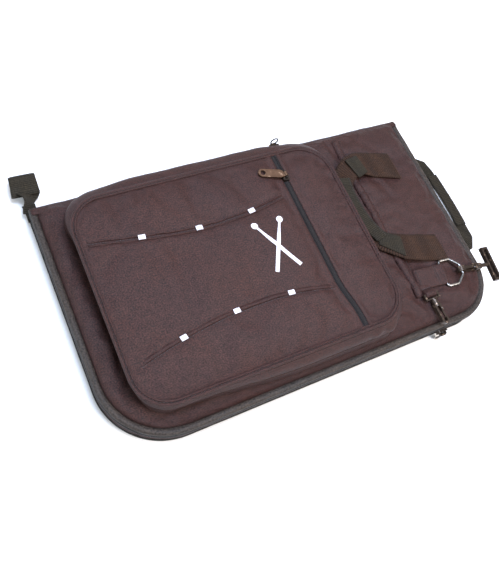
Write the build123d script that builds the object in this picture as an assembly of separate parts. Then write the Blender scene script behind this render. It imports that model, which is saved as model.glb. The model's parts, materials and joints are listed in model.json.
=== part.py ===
"""Drum stick bag: a padded book-style bag that lies on its back, closed.

Origin on the floor under the middle of the back panel.
+X runs along the bag to the handle end, +Y from the zip edge to the spine, +Z up.
Each function makes one sub-part; the table at the end writes them all. Millimetres.
"""
import os
from math import cos, radians, sin

from build123d import *

# ---- Driving dimensions -------------------------------------------------------------
LENGTH = 480.0          # closed end to handle end
WIDTH = 277.0           # zip edge to spine
NEAR_LEFT_R = 73.0      # the zip edge's corner at the closed end
NEAR_RIGHT_R = 60.0     # the zip edge's corner at the handle end
SPINE_R = 6.0           # the two corners at the spine

PLY = 1.5               # nylon with its backing
LINING = 1.0            # lining cloth
FOAM = 2.5              # padding in the back panel
WEBBING = 1.8           # woven nylon webbing
GAP = 0.3               # air between pieces that move past each other

BACK_WALL_TOP = 15.5    # where the back half's zip coil starts
COIL = 1.7              # height of one zip coil
FRONT_COIL_Z = BACK_WALL_TOP + COIL + 0.4
BORDER_Z = 24.0         # underside of the front border
BORDER_TOP = 28.0
BORDER_WIDTH = 15.5
PANEL_INSET = 12.0      # the padded front panel ends this far inside the edge
PANEL_TOP = 33.5
WALL = 3.0              # thickness of the side walls
THREE_SIDED_Y = WIDTH / 2 - 5.0   # walls, coils and bindings stop short of the spine

SLEEVE_X = (-200.0, 110.0)        # closed end and mouth of the stick sleeves
SLEEVE_HALF_Y = 112.0
SEAM = 3.0                        # width of a seam between two sleeves
BACK_SLEEVE_TOP = 12.0            # underside of the back sleeve sheet
FRONT_SLEEVE_TOP = 22.0           # top of the front sleeve sheet

# The front pocket: base on the front panel, face on top of a zipped gusset
BASE_BOX = (-213.0, 99.0, -124.0, 129.0)
FACE_BOX = (-209.0, 95.0, -113.0, 114.5)
POCKET_R = 36.0
LOWER_GUSSET_TOP = 43.2
UPPER_GUSSET_Z = 46.5
FACE_Z = 57.5
FACE_TOP = 59.5
PIPING = 3.0
DIVIDER_Z = 51.0
FACE_ZIP_X = 33.0
FACE_ZIP_TAPE = 11.0

# Handles: one loop of webbing each, the grip folded to half width
HANDLE_SPAN = 148.0
LEG_WIDTH = 36.0
GRIP_WIDTH = 20.0
GRIP_THICKNESS = 4.0
HANDLE_CORNER = 26.0
FRONT_HANDLE_AT = (196.0, 12.0)
FRONT_HANDLE_REACH = 88.0
FRONT_HANDLE_LEAN = 0.3
BACK_HANDLE_AT = (LENGTH / 2 + 2.0, 16.0)
BACK_HANDLE_REACH = 34.0
ANCHOR_LENGTH = 26.0
BACK_ANCHOR_LENGTH = 70.0
ANCHOR_GAP = 1.4        # the back handle turns up past the ends of its anchors

# D-ring and its tab, turned a little in plan
TAB_TURN = -7.0
RING_AT = (177.5, -82.0, 37.1)
RING_LIFT = 8.0         # the hook lies under the ring's far side and tips it up
RING_WIRE_R = 1.5
RING_REACH = 24.0
TAB_WIDTH = 24.0

# Snap hooks
HOOK_DROP = 5.0         # the first hook slopes down to the edge of the bag
HOOK2_AT = (146.0, -99.0, 38.9)
PIN_FIT = 0.05          # running clearance on the radius

# Zip sliders
MAIN_SLIDER_X = 150.0
FACE_SLIDER_Y = 82.0
GUSSET_SLIDER_X = 48.0
CROWN_Z = 5.2           # height of the crown bar over the chain
CROWN_R = 1.0

# Corner loop
LOOP_AT = (-236.0, 150.0, 11.7)
LOOP_TURN = 85.0
LOOP_WIDTH = 30.0


# ---- Helpers ------------------------------------------------------------------------
def block(x0, x1, y0, y1, z0, z1):
    """A box between two corners."""
    size = (x1 - x0, y1 - y0, z1 - z0)
    middle = ((x0 + x1) / 2, (y0 + y1) / 2, (z0 + z1) / 2)
    return Pos(*middle) * Box(*size)


def bag_plate(inset, z0, z1):
    """A plate with the bag's plan, drawn in by inset."""
    plan = Rectangle(LENGTH - 2 * inset, WIDTH - 2 * inset)
    for side, radius in ((0, NEAR_LEFT_R), (-1, NEAR_RIGHT_R)):
        corner = plan.vertices().filter_by(lambda v: v.Y < 0).sort_by(Axis.X)[side]
        plan = fillet(corner, radius - inset)
    far = plan.vertices().sort_by(Axis.Y)[-2:]
    plan = fillet(far, max(SPINE_R - inset, 1.0))
    return extrude(Pos(0, 0, z0) * plan, z1 - z0)


def three_sided_band(outer, inner, z0, z1):
    """A band along the left, near and right edges, open at the spine."""
    band = bag_plate(outer, z0, z1) - bag_plate(inner, z0, z1)
    return band - block(-LENGTH, LENGTH, THREE_SIDED_Y, WIDTH, z0 - 1, z1 + 1)


def pocket_plan(box, grow=0.0, z=0.0):
    """Rounded rectangle of the pocket at one height."""
    x0, x1, y0, y1 = box
    plan = RectangleRounded(x1 - x0 + 2 * grow, y1 - y0 + 2 * grow, POCKET_R + grow)
    return Pos((x0 + x1) / 2, (y0 + y1) / 2, z) * plan


def pocket_plate(box, grow, z0, z1):
    """A plate with the pocket's plan."""
    return extrude(pocket_plan(box, grow, z0), z1 - z0)


def pocket_band(box, outer, inner, z0, z1):
    """A closed band round the pocket."""
    return pocket_plate(box, outer, z0, z1) - pocket_plate(box, inner, z0, z1)


def turned(origin, turn, drop=0.0):
    """A plane whose x axis points turn degrees round from +X and drop degrees down."""
    along = Vector(cos(radians(turn)) * cos(radians(drop)),
                   sin(radians(turn)) * cos(radians(drop)),
                   -sin(radians(drop)))
    across = Vector(-sin(radians(turn)), cos(radians(turn)), 0)
    return Plane(origin=origin, x_dir=along, z_dir=along.cross(across))


def rod(radius, start, end, direction="x"):
    """A round bar from start to end along a local axis."""
    tilt = {"x": (0, 90, 0), "y": (-90, 0, 0), "z": (0, 0, 0)}[direction]
    middle = (start + end) / 2
    place = {"x": (middle, 0, 0), "y": (0, middle, 0), "z": (0, 0, middle)}[direction]
    return Pos(*place) * Rot(*tilt) * Cylinder(radius, end - start)


# ---- Back half ----------------------------------------------------------------------
def back_cover():
    """Outer nylon of the back panel, with slots for the sewn ends of the handle."""
    cover = bag_plate(WALL, 0, PLY)
    for leg in back_anchor_strips():
        cover -= leg
    return cover


def back_foam():
    """Foam sheet of the back panel."""
    return bag_plate(WALL, PLY, PLY + FOAM)


def back_lining():
    """Lining on the foam."""
    return bag_plate(WALL, PLY + FOAM, PLY + FOAM + LINING)


def back_binding():
    """Binding tape round the back panel's edge."""
    return three_sided_band(0, WALL, 1.5, 6.5)


def back_wall():
    """Side wall between the back panel and the zip."""
    return three_sided_band(1.5, 1.5 + WALL, 6.5, BACK_WALL_TOP)


def back_zip_coil():
    """The back half's zip coil."""
    return three_sided_band(0.5, 2.5, BACK_WALL_TOP, BACK_WALL_TOP + COIL)


def spine_panel():
    """The spine, sewn to the back panel and folded up behind the front half."""
    half = LENGTH / 2 - 4
    return block(-half, half, WIDTH / 2 - 2.5, WIDTH / 2 - 0.5, 6.5, 30.0)


def seam_rows(count, z0, z1):
    """The seams between sleeves, and the seam that closes their ends."""
    x0, x1 = SLEEVE_X
    pitch = (2 * SLEEVE_HALF_Y - SEAM) / count
    rows = [block(x0 + SEAM, x1, y, y + SEAM, z0, z1)
            for y in [-SLEEVE_HALF_Y + pitch * i for i in range(count + 1)]]
    rows.append(block(x0, x0 + SEAM, -SLEEVE_HALF_Y, SLEEVE_HALF_Y, z0, z1))
    return Compound(rows)


def sleeve_sheet(z0, z1):
    """The cloth over a row of sleeves."""
    return block(*SLEEVE_X, -SLEEVE_HALF_Y, SLEEVE_HALF_Y, z0, z1)


def back_sleeve_seams():
    """Four sleeves for pairs of sticks on the back half."""
    return seam_rows(4, PLY + FOAM + LINING, BACK_SLEEVE_TOP)


def back_sleeve_sheet():
    """Cloth of the back sleeves."""
    return sleeve_sheet(BACK_SLEEVE_TOP, BACK_SLEEVE_TOP + 1.3)


# ---- Front half ---------------------------------------------------------------------
def front_zip_coil():
    """The front half's zip coil."""
    return three_sided_band(0.5, 2.5, FRONT_COIL_Z, FRONT_COIL_Z + COIL)


def front_wall():
    """Side wall between the zip and the front border."""
    return three_sided_band(1.5, 1.5 + WALL, FRONT_COIL_Z + COIL, BORDER_Z)


def front_border():
    """Bound border round the front panel, open at the spine."""
    return three_sided_band(0, BORDER_WIDTH, BORDER_Z, BORDER_TOP)


def front_lining():
    """Lining under the foam."""
    return bag_plate(PANEL_INSET, BORDER_TOP, BORDER_TOP + LINING)


def front_foam():
    """Foam sheet of the front panel."""
    return bag_plate(PANEL_INSET, BORDER_TOP + LINING, PANEL_TOP - PLY)


def front_cover():
    """Outer nylon of the front panel."""
    return bag_plate(PANEL_INSET, PANEL_TOP - PLY, PANEL_TOP)


def front_sleeve_seams():
    """Three wider sleeves for mallets and brushes on the front half."""
    return seam_rows(3, FRONT_SLEEVE_TOP, BORDER_TOP)


def front_sleeve_sheet():
    """Cloth of the front sleeves."""
    return sleeve_sheet(FRONT_SLEEVE_TOP - 1.3, FRONT_SLEEVE_TOP)


def panel_welt():
    """Raised seam across the front panel beside the pocket."""
    return block(132, 138, -98, 124, PANEL_TOP, PANEL_TOP + PLY)


# ---- Front pocket -------------------------------------------------------------------
def gusset_cut():
    """Everything right of the zipped part of the gusset."""
    return block(BASE_BOX[1] - POCKET_R, LENGTH, -WIDTH, WIDTH, 0, 100)


def pocket_gusset_lower():
    """Gusset wall between the front panel and the pocket zip."""
    return pocket_band(BASE_BOX, 0, -WALL, PANEL_TOP, LOWER_GUSSET_TOP)


def gusset_zip_lower():
    """Lower coil of the pocket zip, on three sides."""
    return pocket_band(BASE_BOX, 0, -2, LOWER_GUSSET_TOP, LOWER_GUSSET_TOP + 1.5) - gusset_cut()


def gusset_zip_upper():
    """Upper coil of the pocket zip, on three sides."""
    return pocket_band(BASE_BOX, 0, -2, UPPER_GUSSET_Z - 1.5, UPPER_GUSSET_Z) - gusset_cut()


def pocket_gusset_upper():
    """Gusset wall between the pocket zip and the piping; it leans in to the face."""
    outer = loft([pocket_plan(BASE_BOX, 0, UPPER_GUSSET_Z), pocket_plan(FACE_BOX, PIPING, FACE_Z)])
    inner = loft([pocket_plan(BASE_BOX, -WALL, UPPER_GUSSET_Z), pocket_plan(FACE_BOX, 0, FACE_Z)])
    return outer - inner


def pocket_divider():
    """Cloth between the slip pocket and the main pocket."""
    return pocket_plate(FACE_BOX, 0, DIVIDER_Z, DIVIDER_Z + LINING)


def pocket_piping():
    """Piping cord round the face."""
    return pocket_band(FACE_BOX, PIPING, 0, FACE_Z, FACE_TOP + PLY)


def face_between(x0, x1, top=FACE_TOP):
    """The part of the pocket's face between two places along X."""
    plate = pocket_plate(FACE_BOX, -0.1, FACE_Z, top)
    return plate & block(x0, x1, -WIDTH, WIDTH, 0, 100)


def pocket_face_main():
    """Large panel of the face, left of its zip."""
    return face_between(-LENGTH, FACE_ZIP_X - FACE_ZIP_TAPE / 2)


def pocket_face_side():
    """Narrow panel of the face, right of its zip."""
    return face_between(FACE_ZIP_X + FACE_ZIP_TAPE / 2, LENGTH)


def face_zip_tape():
    """Tape of the face zip."""
    return face_between(FACE_ZIP_X - FACE_ZIP_TAPE / 2, FACE_ZIP_X + FACE_ZIP_TAPE / 2, FACE_Z + 1.2)


def face_zip_teeth():
    """The two closed coils of the face zip."""
    y0, y1 = FACE_BOX[2] + 2, FACE_BOX[3] - 2
    coils = [block(FACE_ZIP_X + x, FACE_ZIP_X + x + 2.4, y0, y1, FACE_Z + 1.2, FACE_Z + 2.7)
             for x in (-2.5, 0.1)]
    return Compound(coils)


def tuck(points):
    """A raised pin tuck along an arc through three points."""
    path = ThreePointArc(*[(x, y, FACE_TOP) for x, y in points])
    ridge = path ^ 0
    section = Plane(origin=ridge.position, z_dir=path % 0, x_dir=(0, 0, 1)) * Rectangle(3.0, 2.6)
    body = sweep(section, path)
    return body - block(-LENGTH, LENGTH, -WIDTH, WIDTH, 0, FACE_TOP)


UPPER_TUCK = [(-200, 64), (-87, 48), (26, 60)]
LOWER_TUCK = [(-198, -66), (-85, -49), (27, -60)]
TACK_X = (-148.0, -87.0, -24.0)


def upper_tuck():
    """Pin tuck nearer the spine."""
    return tuck(UPPER_TUCK)


def lower_tuck():
    """Pin tuck nearer the zip edge."""
    return tuck(LOWER_TUCK)


def arc_y(points, x):
    """Height in Y of the arc through three points, taken as a parabola."""
    (xa, ya), (xb, yb), (xc, yc) = points
    return (ya * (x - xb) * (x - xc) / ((xa - xb) * (xa - xc))
            + yb * (x - xa) * (x - xc) / ((xb - xa) * (xb - xc))
            + yc * (x - xa) * (x - xb) / ((xc - xa) * (xc - xb)))


def bar_tacks():
    """Six white bar tacks across the tucks."""
    top = FACE_TOP + PLY
    tacks = []
    for points in (UPPER_TUCK, LOWER_TUCK):
        for x in TACK_X:
            y = arc_y(points, x)
            tacks.append(block(x - 3.7, x + 3.7, y - 2.9, y + 2.9, top, top + 0.6))
    return Compound(tacks)


def emblem():
    """Embroidered badge: two crossed drumsticks."""
    stick = Box(62, 4, 0.6) + Pos(33, 0, 0) * Cylinder(3.6, 0.6)
    crossed = [Rot(0, 0, 90 + turn) * stick for turn in (-28, 28)]
    return Pos(-14, 1, FACE_TOP + 0.3) * (crossed[0] + crossed[1])


# ---- Handles ------------------------------------------------------------------------
def handle_loop(reach, lean, z0):
    """Loop of webbing from a hinge line at x = 0 towards -x, its grip folded double."""
    half = HANDLE_SPAN / 2
    inner = half - LEG_WIDTH
    corner = min(HANDLE_CORNER, reach - 6)

    def leaning(x, y):
        return (x, y - lean * x)

    outside = [leaning(0, half), leaning(corner - reach, half), leaning(-reach, half - corner),
               leaning(-reach, corner - half), leaning(corner - reach, -half), leaning(0, -half)]
    hole = [leaning(1, inner), leaning(GRIP_WIDTH - reach, inner),
            leaning(GRIP_WIDTH - reach, -inner), leaning(1, -inner)]
    loop = extrude(Pos(0, 0, z0) * (make_face(Polyline(*outside, close=True))
                                    - make_face(Polyline(*hole, close=True))), WEBBING)
    middle_y = lean * (reach - GRIP_WIDTH / 2)
    grip = block(-reach, GRIP_WIDTH - reach, middle_y - inner, middle_y + inner,
                 z0, z0 + GRIP_THICKNESS)
    return loop + grip


def leg_centres():
    """Y of the two legs about the middle of a handle."""
    offset = (HANDLE_SPAN - LEG_WIDTH) / 2
    return (offset, -offset)


def front_handle():
    """Carrying handle of the front half, folded back over the panel."""
    loop = handle_loop(FRONT_HANDLE_REACH, FRONT_HANDLE_LEAN, PANEL_TOP + PLY + GAP)
    return Pos(*FRONT_HANDLE_AT, 0) * loop


def front_handle_anchors():
    """Ends of the front handle's webbing, sewn flat to the panel."""
    x, y = FRONT_HANDLE_AT
    ends = [block(x - ANCHOR_LENGTH, x, y + leg - LEG_WIDTH / 2, y + leg + LEG_WIDTH / 2,
                  PANEL_TOP, PANEL_TOP + PLY) for leg in leg_centres()]
    return Compound(ends)


def back_handle():
    """Carrying handle of the back half, lying out past the edge."""
    loop = mirror(handle_loop(BACK_HANDLE_REACH, 0, GAP), about=Plane.YZ)
    return Pos(*BACK_HANDLE_AT, 0) * loop


def back_anchor_strips():
    """Ends of the back handle's webbing, let into the back cover."""
    x, y = BACK_HANDLE_AT
    start, end = x - BACK_ANCHOR_LENGTH, x - ANCHOR_GAP
    return [block(start, end, y + leg - LEG_WIDTH / 2, y + leg + LEG_WIDTH / 2, 0, PLY)
            for leg in leg_centres()]


def back_handle_anchors():
    """Both sewn ends of the back handle."""
    return Compound(back_anchor_strips())


# ---- D-ring and its tab -------------------------------------------------------------
def tab_plane():
    """The D-ring's bar is the origin; x points out of the tab."""
    return turned(RING_AT, TAB_TURN)


def d_ring_tab():
    """Nylon strap from the panel seam, wrapped round the ring's bar."""
    wrap_r = 3.3
    low = PANEL_TOP - RING_AT[2]
    strap = block(-37, -1, -TAB_WIDTH / 2, TAB_WIDTH / 2, low, low + 2 * PLY)
    wrap = rod(wrap_r, -TAB_WIDTH / 2, TAB_WIDTH / 2, "y")
    hole = rod(RING_WIRE_R + PIN_FIT, -TAB_WIDTH, TAB_WIDTH, "y")
    return tab_plane() * (strap + wrap - hole)


def ring_plane():
    """As the tab's plane, tipped up with the ring."""
    return turned(RING_AT, TAB_TURN, -RING_LIFT)


def d_ring():
    """Angular wire ring."""
    corners = [(0, 16), (14, 16), (RING_REACH, 6), (RING_REACH, -6), (14, -16), (0, -16)]
    path = FilletPolyline(*corners, radius=3.0, close=True)
    section = Plane(origin=path @ 0, z_dir=path % 0) * Circle(RING_WIRE_R)
    return ring_plane() * sweep(section, path)


# ---- Snap hooks ---------------------------------------------------------------------
def hook_frame(length, half_height, nose_r, half_width, pin_r):
    """Hook in its local XZ plane, nose round the origin, gate side up, bored for a swivel."""
    barrel = 7.5
    loop_end = length - barrel
    outer = SlotCenterPoint((loop_end / 2, 0), (loop_end, 0), 2 * half_height)
    inner = SlotCenterPoint((loop_end / 2 - 1.5, 0), (loop_end - 3.0, 0), 2 * nose_r)
    body = extrude(Plane.XZ * (outer - inner), half_width, both=True)
    body += rod(half_height - 0.6, loop_end - 1, length)
    body -= rod(pin_r + PIN_FIT, loop_end + 1, length + 1)
    gate_gap = block(nose_r + 1, loop_end - 3, -half_width - 1, half_width + 1, 0.6 * nose_r, 20)
    cheeks = block(loop_end - 7, loop_end - 3, -half_width + 1.2, half_width - 1.2, 0, 20)
    pivot = Pos(gate_pivot_x(length), 0, gate_z(half_height, nose_r)) * rod(0.9, -20, 20, "y")
    body -= gate_gap - block(loop_end - 7, loop_end, -20, 20, 0, 20)
    return body - cheeks - pivot


def gate_pivot_x(length):
    """Where the gate's pin crosses a hook of this length."""
    return length - 7.5 - 4.6


def gate_z(half_height, nose_r):
    """Height of the gate's pin over the hook's axis."""
    return (half_height + nose_r) / 2


def hook_gate(length, half_height, nose_r, half_width):
    """Sprung gate that closes the hook from its pin to the nose."""
    z = gate_z(half_height, nose_r)
    pivot_x = gate_pivot_x(length)
    thickness = half_height - nose_r - 0.2
    bar = block(nose_r + 1 + GAP, pivot_x + 1.2, -half_width + 1.5, half_width - 1.5,
                z - thickness / 2, z + thickness / 2)
    return bar - Pos(pivot_x, 0, z) * rod(0.8 + PIN_FIT, -20, 20, "y")


def hook_pin(length, half_height, nose_r, half_width):
    """Rivet that carries the gate."""
    return Pos(gate_pivot_x(length), 0, gate_z(half_height, nose_r)) * rod(
        0.8, -half_width + 0.1, half_width - 0.1, "y")


def strap_eye(length, pin_r, stem, eye_size, slot_size, thickness):
    """Swivel pin, stem and the flat loop that takes the strap."""
    eye_x, eye_y = eye_size
    start = length + stem
    eye = block(start, start + eye_x, -eye_y / 2, eye_y / 2, -thickness / 2, thickness / 2)
    slot_x, slot_y = slot_size
    middle = start + eye_x / 2
    eye -= block(middle - slot_x / 2, middle + slot_x / 2, -slot_y / 2, slot_y / 2, -9, 9)
    return eye + rod(pin_r, length - 6, start + 1) + rod(pin_r + 1, length + GAP, start + 1)


HOOK1 = {"length": 30.0, "half_height": 4.6, "nose_r": 2.2, "half_width": 3.0}
HOOK1_PIN_R = 1.5
HOOK1_EYE = {"stem": 11.4, "eye_size": (10.0, 44.0), "slot_size": (5.2, 38.0), "thickness": 5.0}
HOOK2 = {"length": 26.0, "half_height": 4.3, "nose_r": 2.1, "half_width": 2.4}
HOOK2_PIN_R = 1.2
HOOK2_EYE = {"stem": 1.0, "eye_size": (8.0, 20.0), "slot_size": (4.6, 15.0), "thickness": 2.6}


def hook1_plane():
    """Origin on the D-ring's outer wire; the hook points away from the ring."""
    outer_wire = ring_plane().from_local_coords((RING_REACH, 0, 0))
    return turned(outer_wire, TAB_TURN, HOOK_DROP)


def hook2_plane():
    """Origin in the second hook's nose; x points back to its tab, its plane lies flat."""
    x, y, z = HOOK2_AT
    reach = HOOK2["length"] + HOOK2_EYE["stem"] + HOOK2_EYE["eye_size"][0] - 0.85
    return Plane(origin=(x, y - reach, z), x_dir=(0, 1, 0), z_dir=(1, 0, 0))


def hook1_body():
    """First snap hook, on the D-ring."""
    return hook1_plane() * hook_frame(pin_r=HOOK1_PIN_R, **HOOK1)


def hook1_gate():
    """Gate of the first hook."""
    return hook1_plane() * hook_gate(**HOOK1)


def hook1_gate_pin():
    """Gate pin of the first hook."""
    return hook1_plane() * hook_pin(**HOOK1)


def hook1_eye():
    """Swivelling strap eye of the first hook."""
    return hook1_plane() * strap_eye(HOOK1["length"], HOOK1_PIN_R, **HOOK1_EYE)


def hook2_body():
    """Second snap hook, lying on the front panel."""
    return hook2_plane() * hook_frame(pin_r=HOOK2_PIN_R, **HOOK2)


def hook2_gate():
    """Gate of the second hook."""
    return hook2_plane() * hook_gate(**HOOK2)


def hook2_gate_pin():
    """Gate pin of the second hook."""
    return hook2_plane() * hook_pin(**HOOK2)


def hook2_eye():
    """Swivel eye of the second hook; its far bar lies in the tab."""
    eye = strap_eye(HOOK2["length"], HOOK2_PIN_R, **HOOK2_EYE)
    return hook2_plane() * Rot(90, 0, 0) * eye


def hook2_tab():
    """Short nylon tab at the end of the panel seam, wrapped round the eye's bar."""
    x, y, z = HOOK2_AT
    half = 6.5
    low = PANEL_TOP
    strap = block(x - half, x + half, y, y + 6.5, low, low + 2 * PLY)
    wrap = Pos(x, y, z) * rod(4.0, -half, half)
    hole = block(x - 9, x + 9, y - 2.0, y + 2.0, z - 2.0, z + 2.0)
    solid = strap + wrap - hole
    return solid - block(x - 20, x + 20, y - 20, y + 20, 0, PANEL_TOP)


# ---- Zip sliders and pulls ----------------------------------------------------------
def slider():
    """Slider on its chain: chain along local x, outwards along local z."""
    body = fillet(Box(13, 8, 3).edges().filter_by(Axis.Z), 2.0)
    body = Pos(0, 0, 1.5) * body
    for x in (-4, 4):
        body += block(x - 1, x + 1, -1.1, 1.1, 2.5, CROWN_Z)
    return body + Pos(0, 0, CROWN_Z) * rod(CROWN_R, -5, 5)


def tab_pull(length, width, slant=0.0):
    """Flat pull with a hole at its end, hinged round the crown bar by a knuckle."""
    thickness = 1.4
    plate = SlotOverall(length, width)
    plate -= Pos(-length / 2 + width / 2 + 0.5) * Circle(width / 2 - 2)
    plate = extrude(plate, thickness / 2, both=True)
    plate = Rot(0, 0, 90 + slant) * Pos(-length / 2 - 2.2) * plate
    knuckle = rod(2.0, -2.6, 2.6)
    tongue = block(-2.6, 2.6, -4.5, 0, -thickness / 2, thickness / 2)
    hole = rod(CROWN_R + PIN_FIT, -9, 9)
    return Pos(0, 0, CROWN_Z) * (plate + tongue + knuckle - hole)


def ring_pull():
    """Small wire ring on a knuckle."""
    ring = Pos(0, -7.0, 0) * Torus(4.6, 0.8)
    knuckle = rod(2.0, -2.6, 2.6)
    hole = rod(CROWN_R + PIN_FIT, -9, 9)
    return Pos(0, 0, CROWN_Z) * (ring + knuckle - hole)


def main_zip_plane():
    """On the near edge of the bag, facing out."""
    z = BACK_WALL_TOP + COIL + 0.2
    return Plane(origin=(MAIN_SLIDER_X, -WIDTH / 2 - 0.7, z), x_dir=(1, 0, 0), z_dir=(0, -1, 0))


def face_zip_plane():
    """On the pocket's face, facing up."""
    return Plane(origin=(FACE_ZIP_X, FACE_SLIDER_Y, FACE_Z + 2.7 + GAP),
                 x_dir=(0, -1, 0), z_dir=(0, 0, 1))


def gusset_zip_plane():
    """On the far side of the pocket's gusset, facing out."""
    z = (LOWER_GUSSET_TOP + UPPER_GUSSET_Z) / 2
    return Plane(origin=(GUSSET_SLIDER_X, BASE_BOX[3] + GAP, z), x_dir=(1, 0, 0), z_dir=(0, 1, 0))


def main_slider():
    """Slider of the main zip."""
    return main_zip_plane() * slider()


def main_pull():
    """Short pull of the main zip, hanging down."""
    return main_zip_plane() * tab_pull(12.0, 8.0)


def face_slider():
    """Slider of the face zip."""
    return face_zip_plane() * slider()


def face_pull():
    """Long pull of the face zip, lying across the main panel."""
    return face_zip_plane() * tab_pull(30.0, 10.0, slant=-18.0)


def gusset_slider():
    """Slider of the gusset zip."""
    return gusset_zip_plane() * slider()


def gusset_pull():
    """Ring pull of the gusset zip, standing up."""
    return gusset_zip_plane() * ring_pull()


# ---- Corner loop --------------------------------------------------------------------
def corner_loop():
    """Loop of webbing that hangs from the spine's corner."""
    end, half = 36.0, 5.0
    outer = SlotCenterToCenter(end - half - 16, 2 * half)
    inner = SlotCenterToCenter(end - half - 16, 2 * (half - WEBBING))
    ring = extrude(Plane.XZ * (outer - inner), LOOP_WIDTH / 2, both=True)
    ring = Pos((end + half + 14) / 2 - 2.0, 0, 0) * ring
    stem = block(0, 16, -8, 8, -1.3, 1.3) + Cylinder(8, 2.6)
    return turned(LOOP_AT, LOOP_TURN) * (stem + ring)


def corner_loop_anchor():
    """The loop's end, sewn into the corner of the spine."""
    x, y, z = LOOP_AT
    low, high = z - 3.4, z - 1.6
    strip = block(x - 3, x + 7, WIDTH / 2 - 0.5, y, low, high)
    return strip + Pos(x, y, (low + high) / 2) * Cylinder(7, high - low)


SUBPARTS = [
    back_cover, back_foam, back_lining, back_binding, back_wall, back_zip_coil, spine_panel,
    back_sleeve_seams, back_sleeve_sheet, back_handle_anchors, back_handle,
    corner_loop_anchor, corner_loop, main_slider, main_pull,
    front_zip_coil, front_wall, front_border, front_lining, front_foam, front_cover,
    front_sleeve_seams, front_sleeve_sheet, panel_welt, front_handle_anchors, front_handle,
    pocket_gusset_lower, gusset_zip_lower, gusset_slider, gusset_pull,
    gusset_zip_upper, pocket_gusset_upper, pocket_divider, pocket_piping,
    pocket_face_main, pocket_face_side, face_zip_tape, face_zip_teeth, face_slider, face_pull,
    upper_tuck, lower_tuck, bar_tacks, emblem,
    d_ring_tab, d_ring, hook1_body, hook1_gate, hook1_gate_pin, hook1_eye,
    hook2_tab, hook2_body, hook2_gate, hook2_gate_pin, hook2_eye,
]

os.makedirs("parts", exist_ok=True)
for make in SUBPARTS:
    export_step(make(), f"parts/{make.__name__}.step")
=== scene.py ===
"""Looks of the drum stick bag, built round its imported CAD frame.

Shapes are worked out in millimetres in the CAD's axes (+X to the handle end, +Y to the spine,
+Z up) and become metres when a mesh is made. Each function makes one piece or one material.
"""

import json
from math import cos, pi, radians, sin

import bmesh
import bpy
import numpy as np
from mathutils import Matrix, Vector, noise
from mathutils.bvhtree import BVHTree


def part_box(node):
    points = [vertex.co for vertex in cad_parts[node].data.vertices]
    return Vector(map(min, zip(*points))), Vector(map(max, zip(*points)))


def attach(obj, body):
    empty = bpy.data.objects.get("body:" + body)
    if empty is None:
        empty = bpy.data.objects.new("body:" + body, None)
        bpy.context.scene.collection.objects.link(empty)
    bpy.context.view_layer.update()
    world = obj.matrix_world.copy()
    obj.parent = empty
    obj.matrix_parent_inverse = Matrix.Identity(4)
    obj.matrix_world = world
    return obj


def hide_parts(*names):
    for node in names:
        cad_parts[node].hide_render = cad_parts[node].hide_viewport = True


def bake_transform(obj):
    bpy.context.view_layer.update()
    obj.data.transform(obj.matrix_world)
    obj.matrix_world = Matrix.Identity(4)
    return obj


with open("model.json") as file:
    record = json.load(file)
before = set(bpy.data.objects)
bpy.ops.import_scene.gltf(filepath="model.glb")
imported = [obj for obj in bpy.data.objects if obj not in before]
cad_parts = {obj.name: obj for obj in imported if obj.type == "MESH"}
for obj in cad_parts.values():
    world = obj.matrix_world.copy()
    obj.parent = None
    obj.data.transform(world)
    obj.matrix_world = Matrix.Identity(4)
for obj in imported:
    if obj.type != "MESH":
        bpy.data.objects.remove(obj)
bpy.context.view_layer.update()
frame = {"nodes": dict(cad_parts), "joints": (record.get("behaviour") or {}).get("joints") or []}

MM = 0.001
UP = np.array([0.0, 0.0, 1.0])


# ---- Places taken from the CAD ------------------------------------------------------
def span(node):
    """Lowest and highest corner of a CAD node, in millimetres."""
    low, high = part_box(node)
    return np.array(low) / MM, np.array(high) / MM


def plan_of(node, grow=0.0):
    """A node's box in plan, as x0, x1, y0, y1."""
    low, high = span(node)
    return low[0] - grow, high[0] + grow, low[1] - grow, high[1] + grow


SPINE_Y = span("spine_panel")[1][1]
BAG = plan_of("back_binding")[:3] + (SPINE_Y - 1.5,)
NEAR_LEFT_R, NEAR_RIGHT_R = 73.0, 60.0
PANEL_INSET = 7.2
LINING_THICKNESS = 0.6
HINGE_THICKNESS = 0.8
WALL_THICKNESS = 1.2
FACE_THICKNESS = 1.3
PANEL_THICKNESS = 4.2
PANEL = (BAG[0] + PANEL_INSET, BAG[1] - PANEL_INSET, BAG[2] + PANEL_INSET, SPINE_Y - 3.0)
PANEL_RADII = (NEAR_LEFT_R - PANEL_INSET, NEAR_RIGHT_R - PANEL_INSET)
PANEL_TOP = span("front_cover")[1][2]
BASE = plan_of("pocket_gusset_lower")
FACE = plan_of("pocket_piping", -3.0)
POCKET_R = 36.0
FACE_TOP = span("pocket_face_main")[1][2]
ZIP_X = (span("face_zip_tape")[0][0] + span("face_zip_tape")[1][0]) / 2
SLIDER_Y = (span("face_slider")[0][1] + span("face_slider")[1][1]) / 2


# ---- Numbers and noise --------------------------------------------------------------
def ease(value, start, end):
    """0 before start, 1 after end, smooth between them."""
    t = np.clip((np.asarray(value, float) - start) / (end - start), 0, 1)
    return t * t * (3 - 2 * t)


def unit(rows):
    """Rows scaled to length one."""
    rows = np.asarray(rows, float)
    return rows / np.linalg.norm(rows, axis=-1, keepdims=True)


def wander(points, size, seed=0.0):
    """Smooth noise, about -1 to 1, whose lumps are size millimetres across."""
    rows = points.reshape(-1, points.shape[-1]) / size + seed
    values = [noise.noise(Vector(row)) for row in rows]
    return np.array(values).reshape(points.shape[:-1])


def creases(points, size, seed=0.0):
    """Sharp-topped folds, 0 to 1, size millimetres apart."""
    return (1 - np.abs(wander(points, size, seed)) * 2.2).clip(0, 1) ** 3


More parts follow.
